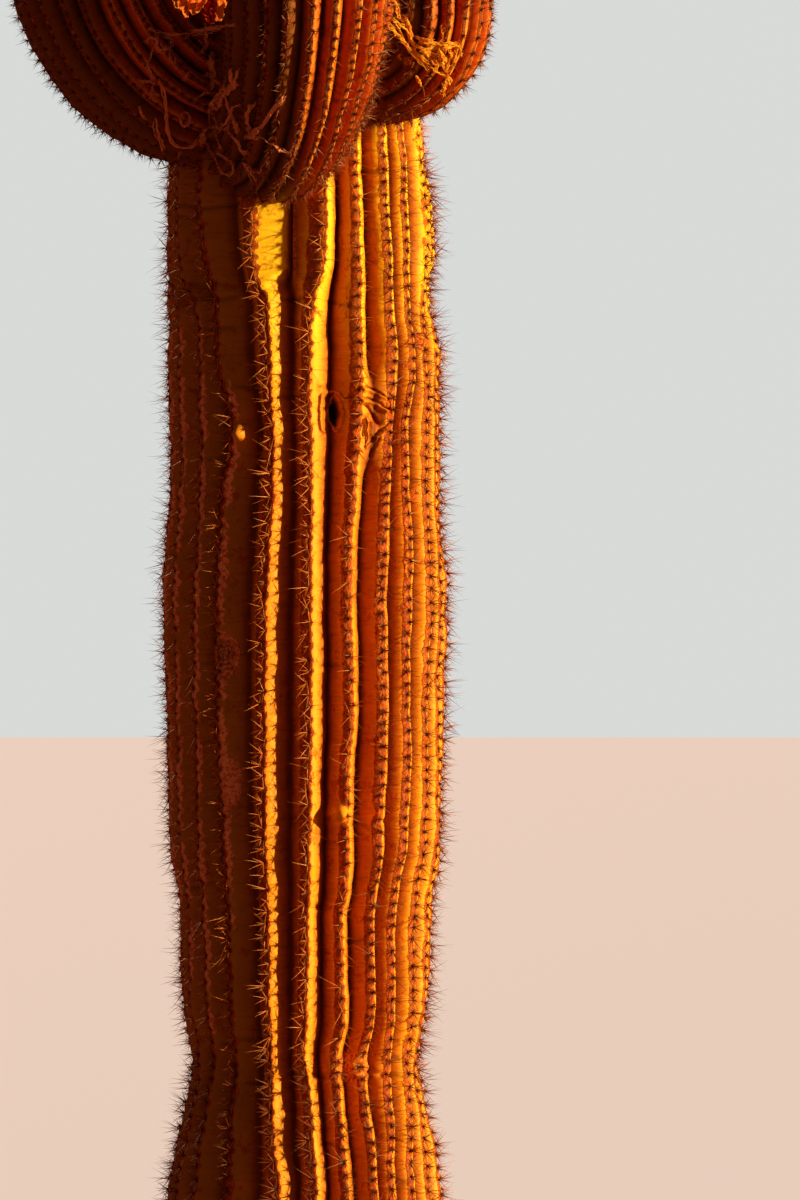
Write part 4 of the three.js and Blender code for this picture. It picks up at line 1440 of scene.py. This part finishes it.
class Skins:
    """The skins near the crook of the arms, as the camera sees them."""

    def __init__(self):
        clouds = [self.scan(trunk, *SCAN_TRUNK, np.arange(0, len(RIB_COURSES), TRUNK_RIB_STEP))]
        for arm in arms[:ARMS_IN_SIGHT]:
            ribs = np.arange(0, arm.ribs, ARM_RIB_STEP)
            clouds.append(self.scan(arm, SCAN_ARM_FROM, arm.turned + SCAN_ABOVE_BEND, ribs))
        pitch = np.radians(CAMERA_PITCH_DEG)
        away = np.concatenate(clouds) - np.array(CAMERA_AT)
        depth = away[:, 1] * np.cos(pitch) + away[:, 2] * np.sin(pitch)
        rise = away[:, 2] * np.cos(pitch) - away[:, 1] * np.sin(pitch)
        focal = LENS_MM / SENSOR_MM * PICTURE_HEIGHT
        self.x = PICTURE_WIDTH / 2 + away[:, 0] / depth * focal
        self.y = PICTURE_HEIGHT / 2 - rise / depth * focal
        self.depth = depth

    def scan(self, stem, start, end, ribs):
        return stem.skin(np.arange(start, end, SCAN_STEP)[:, None], ribs[None, :])[0].reshape(-1, 3)

    def depth_at(self, x, y):
        """How far off the nearest skin is behind a point of the picture."""
        off = np.hypot(self.x - x, self.y - y)
        near = off < max(SIGHT_REACH, off.min() + 0.5)
        return self.depth[near].min()


skins = Skins()
print(len(skins.depth), "places on the skins")


# %% A strand's line and its tube
ROUNDS = 4
CRINKLE_LENGTHS = (0.27, 0.4, 0.24)
TO_VIEWER = np.array([0, -1.0, 0.15])
TWIST, TWIST_LENGTH = 0.9, 0.9
# How thin a strand is at its ends, as a share of its middle, and how uneven its width is.
THIN_END, TAPER_POWER = 0.25, 0.6
UNEVEN_WIDTH, UNEVEN_WIDTH_LENGTH = 0.22, 0.3
INNER_SIDE_FROM = 0.1
# Steps of the UV map from ring to ring and from side to side, in metres.
UV_RING_STEP, UV_SIDE_STEP = 0.004, 0.001


def smooth_line(points, count):
    """A line with even steps through some points, rounded at its corners."""
    points = np.array(points, dtype=float)
    lengths = np.concatenate([[0], np.cumsum(np.linalg.norm(np.diff(points, axis=0), axis=1))])
    at = np.linspace(0, lengths[-1], count)
    line = np.stack([np.interp(at, lengths, points[:, i]) for i in range(3)], axis=1)
    for _ in range(3):
        line[1:-1] = (line[:-2] + 2 * line[1:-1] + line[2:]) / 4
    return line


def strand_line(traced, depths, key):
    """The places of a strand from its traced points and how far off they may be at most."""
    for _ in range(ROUNDS):
        between = (depths[:-2] + depths[2:]) / 2 + SAG
        depths[1:-1] = np.minimum(depths[1:-1], between)
    for _ in range(ROUNDS):
        depths[:-1] = np.minimum(depths[:-1], depths[1:] + STEEPEST)
        depths[1:] = np.minimum(depths[1:], depths[:-1] + STEEPEST)
    points = [np.array(CAMERA_AT) + sight(x, y) * depth for (x, y), depth in zip(traced, depths)]
    line = smooth_line(points, RINGS)
    at = np.linspace(0, 1, RINGS)
    right, back, up = [ripple(at, length, key + i) for i, length in enumerate(CRINKLE_LENGTHS)]
    return line + CRINKLE * np.stack([right, 0.5 * back, up], axis=1)


def strand_tube(line, width, thickness, curl, key):
    """A dry ribbon along a line: rings of a flat section that twists, and which side is the inner one."""
    ahead = np.gradient(line, axis=0)
    ahead /= np.linalg.norm(ahead, axis=1, keepdims=True)
    out = TO_VIEWER - ahead * (ahead @ TO_VIEWER)[:, None]
    out /= np.linalg.norm(out, axis=1, keepdims=True)
    side = np.cross(ahead, out)
    at = np.linspace(0, 1, len(line))
    twist = (TWIST * ripple(at, TWIST_LENGTH, key + 5) * (1 - curl))[:, None]
    out, side = out * np.cos(twist) + side * np.sin(twist), side * np.cos(twist) - out * np.sin(twist)
    taper = THIN_END + (1 - THIN_END) * np.sin(np.pi * np.clip(at, 0.02, 0.98)) ** TAPER_POWER
    breadth = width * taper * (1 + UNEVEN_WIDTH * ripple(at, UNEVEN_WIDTH_LENGTH, key))
    round_it = np.linspace(0, 2 * np.pi, SIDES, endpoint=False)
    across = np.cos(round_it)[None, :, None] * breadth[:, None, None] / 2
    curled = curl * breadth[:, None] * np.cos(round_it)[None, :] ** 2
    through_it = np.sin(round_it)[None, :] * thickness / 2 + curled
    rings = line[:, None] + side[:, None] * across + out[:, None] * through_it[:, :, None]
    return rings, np.broadcast_to(np.sin(round_it) > INNER_SIDE_FROM, rings.shape[:2])


def tubes_mesh(name, tubes):
    """One mesh of closed tubes."""
    vertices, faces, inner, flat = [], [], [], []
    first = 0
    for number, (rings, inside) in enumerate(tubes):
        count = rings.shape[0] * SIDES
        index = first + np.arange(count).reshape(-1, SIDES)
        turned = np.roll(index, -1, axis=1)
        quads = np.stack([index[:-1], turned[:-1], turned[1:], index[1:]], axis=-1).reshape(-1, 4)
        foot, tip = np.full(SIDES, first + count), np.full(SIDES, first + count + 1)
        foot_fan = np.stack([turned[0], index[0], foot], axis=-1)
        tip_fan = np.stack([index[-1], turned[-1], tip], axis=-1)
        faces += [quads, foot_fan, tip_fan]
        vertices += [rings.reshape(-1, 3), rings[:1].mean(axis=1), rings[-1:].mean(axis=1)]
        inner.append(np.append(inside.ravel(), [0, 0]))
        along = np.repeat(np.arange(rings.shape[0]) * UV_RING_STEP + number, SIDES)
        around = np.tile(np.arange(SIDES) * UV_SIDE_STEP, rings.shape[0])
        flat.append(np.vstack([np.stack([around, along], axis=-1), np.zeros((2, 2))]))
        first += count + 2
    vertices, flat = np.concatenate(vertices), np.concatenate(flat)
    return mesh_from(name, vertices, faces, {"inside": np.concatenate(inner).astype(float)}, flat)


print("tubes ready:", RINGS, "rings of", SIDES)


# %% Strands with companions
def litter_mesh(name, strands):
    """Every strand as a tube, with thinner companions that fray from it."""
    tubes = []
    for number, (kind, traced) in enumerate(strands):
        width, share, companions = KINDS[kind]
        curl = HUSK_CURL if kind == "husk" else FIBRE_CURL
        for copy in range(companions + 1):
            key = number * 7 + copy * 3 + len(strands)
            spread = FRAY * min(copy, FRAY_MOST)
            moved = [(x + spread * (chance(key, i) - 0.5), y + spread * (chance(key, i + 40) - 0.5))
                     for i, (x, y) in enumerate(traced)]
            wide = width / 1000 * (0.8 + 0.4 * chance(key, 3)) * (COMPANION_WIDTH if copy else 1)
            lift = LITTER_LIFT + LITTER_LIFT_SPREAD * chance(key, 9)
            line = strand_line(moved, np.array([skins.depth_at(x, y) - lift for x, y in moved]), key)
            tubes.append(strand_tube(line, wide, wide * share, curl, key))
    return tubes_mesh(name, tubes)


def litter_material(name, straw, dusk, inner):
    """Dry fibre with dusky patches and streaks, in another colour on its inner side."""
    material, graph = new_material(name)
    where = graph.add("ShaderNodeTexCoord", output="Object")
    fibres = graph.streaks(where, (1.0, 1.0, 0.25), 420.0, 3.0, 0.6)
    patches = graph.noise(where, 60.0, 3.0, 0.6)
    colour = graph.blend(graph.step(patches, 0.35, 0.65), dusk, straw)
    colour = graph.blend(graph.mark("inside"), colour, inner)
    colour = graph.blend(graph.step(fibres, 0.5, 0.68) * 0.5, colour, dusk)
    finish_material(graph, {
        "Base Color": colour, "Roughness": 0.85,
        "Normal": graph.bump(0.001, fibres), "Specular IOR Level": 0.15})
    return material


dry_husk = litter_material("dry_husk", srgb(250, 178, 156), srgb(196, 104, 88), srgb(232, 146, 126))
pale_husk = litter_material("pale_husk", srgb(236, 150, 76), srgb(206, 92, 34), srgb(222, 110, 50))
red_husk = litter_material("red_husk", srgb(170, 22, 22), srgb(130, 12, 18), srgb(196, 40, 22))
gold_straw = litter_material("gold_straw", srgb(250, 178, 70), srgb(214, 108, 36), srgb(246, 166, 56))
for name, strands, material in (
        ("litter_husks", DARK_STRANDS, dry_husk),
        ("litter_straw", STRAW_STRANDS, gold_straw)):
    add_piece(name, litter_mesh(name, strands), material)
print("litter", len(DARK_STRANDS) + len(STRAW_STRANDS), "strands")

# %% [markdown]
# A ripe fruit splits into lobes that curl back from a red heart. The lobes of this one meet above
# the picture's edge. It hangs in the spines of the front arm's left side, clear of the arm's shadow,
# and a stalk holds it to the arm.

# %% The split husk
HUSK_LOBES = [
    [(198, -16), (187, -6), (181, 5), (187, 17)],
    [(190, -16), (180, -8), (176, 2), (181, 11)],
    [(204, -14), (196, -4), (192, 6), (193, 15)],
    [(207, -12), (203, -2), (199, 7), (197, 13)],
    [(214, -12), (221, 0), (222, 11), (217, 21)],
    [(206, -14), (203, -24), (198, -34)],
]
HUSK_HEART = [
    [(207, -12), (206, 2), (208, 14)],
    [(212, -12), (214, 3), (213, 17)],
    [(204, 13), (210, 19), (216, 18)],
]
HUSK_LOBE_WIDTH = 0.019
HUSK_LOBE_THICKNESS = 0.0018
HUSK_LOBE_CURL = 0.25
HUSK_DEPTH = 11.315
HEART_BEHIND = 0.004
HUSK_STALK = [(206, -10), (222, -16), (240, -20), (252, -20)]
HUSK_STALK_DEPTHS = [11.315, 11.312, 11.33, 11.36]
STALK_WIDTH, STALK_THICKNESS = 0.005, 0.004
STALK_KEY = 9


def husk_lobes(traces, depth):
    """Curled lobes at one distance from the camera, all cut from the same dry rind."""
    lobes = []
    for number, traced in enumerate(traces):
        line = strand_line(traced, np.full(len(traced), depth), number)
        lobes.append(strand_tube(line, HUSK_LOBE_WIDTH, HUSK_LOBE_THICKNESS, HUSK_LOBE_CURL, number))
    return lobes


stalk_line = strand_line(HUSK_STALK, np.array(HUSK_STALK_DEPTHS), STALK_KEY)
stalk = strand_tube(stalk_line, STALK_WIDTH, STALK_THICKNESS, 0.0, STALK_KEY)
for name, tubes, material in (
        ("litter_split_husk", husk_lobes(HUSK_LOBES, HUSK_DEPTH) + [stalk], pale_husk),
        ("litter_husk_heart", husk_lobes(HUSK_HEART, HUSK_DEPTH + HEART_BEHIND), red_husk)):
    add_piece(name, tubes_mesh(name, tubes), material)
    print(name, len(tubes), "tubes")

# %% [markdown]
# Spines are what makes the plant's outline: some 16,000 areoles, each with a star of spines. Real
# ones come in two kinds: radial spines that lie almost flat, and a few stout central ones that
# stand out and droop. Geometry Nodes suit this well. Each areole is one vertex that stores which
# way is outward and which way is up the rib. The tree copies it once for each spine, leans each
# copy by its own angle, puts a thin three-sided cone there, and realizes the instances.

# %% Areoles
AREOLE_SIDE_SWAY = 0.10
SEARCH_STEP = 0.002
# How far to the sides of an areole the skin is probed for its slope: in metres, and in ribs.
PROBE = 0.004
PROBE_RIBS = 0.05
LEAST_VIGOUR, VIGOUR_SPREAD = 0.75, 0.5


def areoles_of(stem, start, end, crests):
    """Areole places on some ribs between two distances, with their outward and upward ways."""
    grid = np.arange(start, end, SEARCH_STEP)
    alongs, ribs = [], []
    for crest in crests:
        counts = stem.phase(grid, crest)
        whole = np.arange(np.ceil(counts[0]), np.floor(counts[-1]) + 1)
        alongs.append(np.interp(whole, counts, grid))
        sway = AREOLE_SIDE_SWAY * (chance(whole + crest * 7, stem.seed) - 0.5)
        ribs.append(crest + stem.pad_side(crest) + sway)
    along, rib = np.concatenate(alongs), np.concatenate(ribs)
    points = stem.skin(along, rib)[0]
    upward = stem.skin(along + PROBE, rib)[0] - stem.skin(along - PROBE, rib)[0]
    across = stem.skin(along, rib + PROBE_RIBS)[0] - stem.skin(along, rib - PROBE_RIBS)[0]
    outward = np.cross(across, upward)
    outward /= np.linalg.norm(outward, axis=1, keepdims=True)
    upward /= np.linalg.norm(upward, axis=1, keepdims=True)
    vigour = LEAST_VIGOUR + VIGOUR_SPREAD * chance(along * 977 + rib * 13, stem.seed)
    return {"points": points, "outward": outward, "upward": upward, "vigour": vigour}


def areole_object(areoles):
    """A mesh of bare vertices that carries the areoles into a node tree."""
    count = len(areoles["points"])
    mesh = bpy.data.meshes.new("areoles")
    mesh.vertices.add(count)
    mesh.vertices.foreach_set("co", areoles["points"].astype(np.float32).ravel())
    for name in ("outward", "upward"):
        attribute = mesh.attributes.new(name, "FLOAT_VECTOR", "POINT")
        attribute.data.foreach_set("vector", areoles[name].astype(np.float32).ravel())
    attribute = mesh.attributes.new("vigour", "FLOAT", "POINT")
    attribute.data.foreach_set("value", areoles["vigour"].astype(np.float32))
    carrier = bpy.data.objects.new("areoles", mesh)
    bpy.context.collection.objects.link(carrier)
    return carrier


print("areoles: ready to be counted up each rib")


# %% Helpers for Geometry Nodes
def new_tree(name, inputs):
    """A Geometry Nodes tree with named inputs, and its graph with a Wire for each of them."""
    tree = bpy.data.node_groups.new(name, "GeometryNodeTree")
    tree.interface.new_socket("Geometry", in_out="OUTPUT", socket_type="NodeSocketGeometry")
    for label, kind in inputs:
        tree.interface.new_socket(label, in_out="INPUT", socket_type="NodeSocket" + kind)
    graph = Graph(tree)
    source = tree.nodes.new("NodeGroupInput")
    return tree, graph, {label: Wire(graph, source.outputs[label]) for label, kind in inputs}


def random_value(graph, low, high, seed):
    inputs = {"Min": low, "Max": high, "Seed": seed}
    return graph.add("FunctionNodeRandomValue", {"data_type": "FLOAT"}, inputs)


def stored(graph, name, kind="FLOAT_VECTOR"):
    return graph.add("GeometryNodeInputNamedAttribute", {"data_type": kind}, {"Name": name})


def scaled(graph, vector, factor):
    return graph.add("ShaderNodeVectorMath", {"operation": "SCALE"}, {"Vector": vector, "Scale": factor})


def vector_sum(graph, a, b):
    return graph.add("ShaderNodeVectorMath", {"operation": "ADD"}, {0: a, 1: b})


def plant_on(graph, points, shape, direction, scale, material):
    """Puts a shape on each point, turned along a direction, and makes it real."""
    turned = graph.add("FunctionNodeAlignRotationToVector", {"axis": "Z"}, {"Vector": direction})
    inputs = {"Points": points, "Instance": shape, "Rotation": turned, "Scale": scale}
    planted = graph.add("GeometryNodeInstanceOnPoints", {}, inputs)
    real = graph.add("GeometryNodeRealizeInstances", {}, {"Geometry": planted})
    done = graph.add("GeometryNodeSetMaterial", {}, {"Geometry": real, "Material": material})
    graph.tree.nodes.new("NodeGroupOutput")
    graph.tree.links.new(done.socket, graph.tree.nodes["Group Output"].inputs["Geometry"])


def cone(graph, sides):
    """A closed cone one unit long and one unit in radius, which stands on its base."""
    settings = {"fill_type": "NGON"}
    inputs = {"Vertices": sides, "Radius Top": 0.0, "Radius Bottom": 1.0, "Depth": 1.0}
    return graph.add("GeometryNodeMeshCone", settings, inputs, output="Mesh")


print("helpers for Geometry Nodes: ready")

# %% [markdown]
# The spine tree leans each copy away from the areole's outward way by its tilt, in a direction that
# goes round with the copy's number, and lets it droop a little.

# %% The spine tree
TURN_SPREAD = 0.9
THINNEST, THICKEST = 0.75, 1.2
SPINE_SIDES = 3
SPINE_INPUTS = [
    ("Areoles", "Geometry"), ("Spines each", "Int"), ("Shortest", "Float"), ("Longest", "Float"),
    ("Least tilt", "Float"), ("Most tilt", "Float"), ("Radius", "Float"), ("Droop", "Float"),
    ("Seed", "Int"), ("Material", "Material"),
]
spine_tree, graph, entry = new_tree("spine_stars", SPINE_INPUTS)
copies = {"Geometry": entry["Areoles"], "Amount": entry["Spines each"]}
spread = graph.add("GeometryNodeDuplicateElements", {"domain": "POINT"}, copies, output="Geometry")
number = Wire(graph, spread.socket.node.outputs["Duplicate Index"])
turn = (number + random_value(graph, 0.0, TURN_SPREAD, entry["Seed"])) * 2 * np.pi / entry["Spines each"]
tilt = random_value(graph, entry["Least tilt"], entry["Most tilt"], entry["Seed"] + 1)
outward, upward = stored(graph, "outward"), stored(graph, "upward")
sideways = graph.add("ShaderNodeVectorMath", {"operation": "CROSS_PRODUCT"}, {0: upward, 1: outward})


def turned_between(graph, start, end, angle):
    """A way that turns from one way to another by an angle."""
    from_start = scaled(graph, start, angle.math("COSINE", angle))
    return vector_sum(graph, from_start, scaled(graph, end, angle.math("SINE", angle)))


flat_way = turned_between(graph, sideways, upward, turn)
leaning = turned_between(graph, outward, flat_way, tilt)
down = graph.add("ShaderNodeCombineXYZ", {}, {"Z": entry["Droop"] * -1.0})
direction = vector_sum(graph, leaning, down)
vigour = stored(graph, "vigour", "FLOAT")
reach = random_value(graph, entry["Shortest"], entry["Longest"], entry["Seed"] + 2) * vigour
thick = entry["Radius"] * random_value(graph, THINNEST, THICKEST, entry["Seed"] + 3)
size = graph.add("ShaderNodeCombineXYZ", {}, {"X": thick, "Y": thick, "Z": reach})
plant_on(graph, spread, cone(graph, SPINE_SIDES), direction, size, entry["Material"])
print("spine tree:", len(spine_tree.nodes), "nodes")

# %% The felt tree
SUNK_SHARE = 0.3
NARROWEST_PAD, WIDEST_PAD = 0.7, 1.25
PAD_LENGTH_SHARE = 1.3
PAD_SIDES = 5
FELT_INPUTS = [
    ("Areoles", "Geometry"), ("Width", "Float"), ("Height", "Float"),
    ("Seed", "Int"), ("Material", "Material"),
]
felt_tree, graph, entry = new_tree("felt_pads", FELT_INPUTS)
sunk = scaled(graph, stored(graph, "outward"), entry["Height"] * -SUNK_SHARE)
points = graph.add("GeometryNodeSetPosition", {}, {"Geometry": entry["Areoles"], "Offset": sunk})
breadth = entry["Width"] * random_value(graph, NARROWEST_PAD, WIDEST_PAD, entry["Seed"])
pad_size = {"X": breadth, "Y": breadth * PAD_LENGTH_SHARE, "Z": entry["Height"]}
size = graph.add("ShaderNodeCombineXYZ", {}, pad_size)
points = graph.add("GeometryNodeMeshToPoints", {}, {"Mesh": points})
plant_on(graph, points, cone(graph, PAD_SIDES), stored(graph, "outward"), size, entry["Material"])
print("felt tree:", len(felt_tree.nodes), "nodes")


# %% From a tree to a plain mesh
def grown(name, tree, areoles, values):
    """Runs a tree over areoles and keeps the result as a plain mesh."""
    carrier = areole_object(areoles)
    modifier = carrier.modifiers.new("grow", "NODES")
    modifier.node_group = tree
    for item in tree.interface.items_tree:
        if item.in_out == "INPUT" and item.name in values:
            modifier[item.identifier] = values[item.name]
    evaluated = carrier.evaluated_get(bpy.context.evaluated_depsgraph_get())
    mesh = bpy.data.meshes.new_from_object(evaluated)
    mesh.name = name
    carrier.modifiers.clear()
    bpy.data.objects.remove(carrier)
    triangles = sum(len(polygon.vertices) - 2 for polygon in mesh.polygons)
    print(name, len(areoles["points"]), "areoles", triangles, "triangles")
    return add_piece(name, mesh, values["Material"])


print("growing: ready")

# %% [markdown]
# Spines are plain colours, as the joined pieces should be: dark brown for the radial ones, and straw
# for the trunk's central ones, which bleach in the sun. Felt is dark and matt.

# %% Spine materials
def plain_material(name, colour, roughness):
    material, graph = new_material(name)
    finish_material(graph, {"Base Color": colour, "Roughness": roughness})
    return material


radial_brown = plain_material("radial_spine", srgb(92, 30, 16), 0.6)
central_straw = plain_material("central_spine", srgb(214, 116, 56), 0.5)
arm_brown = plain_material("arm_spine", srgb(142, 58, 26), 0.55)
felt_brown = plain_material("areole_felt", srgb(84, 26, 14), 0.95)
print("spine materials ready")

# %% [markdown]
# Old areoles at the foot and on the sunny side carry the most spines, and the young ones high up the
# fewest. So the plant is divided into areas, each with its own numbers and lengths.

# %% Areas of spines
RADIAL = {"Least tilt": np.radians(45), "Most tilt": np.radians(84), "Radius": 0.0005, "Droop": 0.10}
CENTRAL = {"Least tilt": np.radians(5), "Most tilt": np.radians(76), "Radius": 0.0008, "Droop": 0.12}
LOWEST_AREOLE = 0.06
WAIST = 0.72
HIGH = 2.3
BEND_ENDS_ABOVE = 0.15
# Areas: their name, stem, start, end and ribs, the colour of their central spines, and for the radial
# and the central ones how many an areole has and how short and long they are. At the trunk's right
# and foot the central ones are brown, as on the arms.
AREAS = [
    ("trunk_foot", trunk, LOWEST_AREOLE, WAIST, range(0, 12), arm_brown,
     (15, 0.010, 0.024), (11, 0.018, 0.042)),
    ("trunk_left", trunk, WAIST, HIGH, range(0, 7), central_straw, (12, 0.008, 0.018), (7, 0.013, 0.042)),
    ("trunk_right", trunk, WAIST, HIGH, range(7, 12), arm_brown, (14, 0.010, 0.023), (9, 0.015, 0.044)),
    ("trunk_behind", trunk, LOWEST_AREOLE, HIGH, range(12, RIBS_ROUND_TRUNK), central_straw,
     (9, 0.008, 0.018), (6, 0.013, 0.038)),
    ("trunk_high", trunk, HIGH, trunk.length - 0.02, range(0, RIBS_ROUND_TRUNK), central_straw,
     (7, 0.010, 0.019), (4, 0.016, 0.032)),
]
for arm in arms:
    bend_end = arm.turned + BEND_ENDS_ABOVE
    AREAS += [
        (arm.name + "_bend", arm, 0.1, bend_end, range(arm.ribs), arm_brown,
         (10, 0.007, 0.014), (6, 0.012, 0.024)),
        (arm.name + "_climb", arm, bend_end, arm.length - 0.01, range(arm.ribs), arm_brown,
         (5, 0.009, 0.018), (4, 0.014, 0.028)),
    ]
print(len(AREAS), "areas")

# %% Spines and felt
FELT_WIDTH = 0.0032
FELT_HEIGHT = 0.0018
for number, (name, stem, start, end, crests, central_colour, radial, central) in enumerate(AREAS):
    areoles = areoles_of(stem, start, end, crests)
    for kind, shape, (count, shortest, longest), material in (
            ("radial", RADIAL, radial, radial_brown),
            ("central", CENTRAL, central, central_colour)):
        values = dict(shape, Material=material, Shortest=shortest, Longest=longest)
        values["Spines each"] = count
        values["Seed"] = number * 10 + len(kind)
        grown(name + "_" + kind + "_spines", spine_tree, areoles, values)
    felt = {"Width": FELT_WIDTH, "Height": FELT_HEIGHT, "Seed": number, "Material": felt_brown}
    grown(name + "_felt", felt_tree, areoles, felt)

# %% [markdown]
# The floor is a plain pale plane, and the light is a studio's: one warm, low key from the right, as
# in the photograph, a weak light from behind for the views from the back, and a pale surround. Floor
# and surround are brighter for the camera than for the plant, so that its shaded side stays dark.

# %% Floor
FLOOR_HALF = 150
FLOOR_GLOW = 0.7
FLOOR_CORNERS = [(x * FLOOR_HALF, y * FLOOR_HALF) for x, y in ((-1, -1), (1, -1), (1, 1), (-1, 1))]
floor_mesh = bpy.data.meshes.new("floor")
floor_mesh.from_pydata([(x, y, 0) for x, y in FLOOR_CORNERS], [], [(0, 1, 2, 3)])
floor = bpy.data.objects.new("floor", floor_mesh)
bpy.context.collection.objects.link(floor)
floor_material, floor_graph = new_material("floor")
lit_for_camera = floor_graph.add("ShaderNodeLightPath", output="Is Camera Ray") * FLOOR_GLOW
finish_material(floor_graph, {
    "Base Color": srgb(150, 92, 70), "Roughness": 0.9,
    "Emission Color": srgb(222, 218, 210), "Emission Strength": lit_for_camera})
floor_mesh.materials.append(floor_material)
print("floor", 2 * FLOOR_HALF, "m wide")


# %% Light and surround
def add_sun(name, bearing, elevation, strength, softness, colour):
    """A soft distant light that comes from a bearing and an elevation."""
    light = bpy.data.lights.new(name, "SUN")
    light.energy = strength
    light.angle = np.radians(softness)
    light.color = colour
    lamp = bpy.data.objects.new(name, light)
    lamp.rotation_euler = (np.radians(90 - elevation), 0, np.radians(bearing))
    bpy.context.collection.objects.link(lamp)


add_sun("key", bearing=73, elevation=9, strength=7.4, softness=2.0, colour=(1.0, 0.80, 0.26))
add_sun("back_fill", bearing=208, elevation=32, strength=1.9, softness=25, colour=(1.0, 0.72, 0.44))

world = bpy.data.worlds.new("surround")
world.use_nodes = True
world.node_tree.nodes.clear()
surround = Graph(world.node_tree)
seen = surround.add("ShaderNodeLightPath", output="Is Camera Ray")
dim = surround.add("ShaderNodeBackground", {}, {"Color": (1.0, 0.44, 0.19, 1), "Strength": 0.078})
pale = surround.add("ShaderNodeBackground", {}, {"Color": (0.86, 0.88, 0.86, 1), "Strength": 0.8})
mixed = surround.add("ShaderNodeMixShader", {}, {"Fac": seen, 1: dim, 2: pale})
surround.add("ShaderNodeOutputWorld", {}, {"Surface": mixed})
bpy.context.scene.world = world
bpy.context.scene.view_settings.view_transform = "Standard"
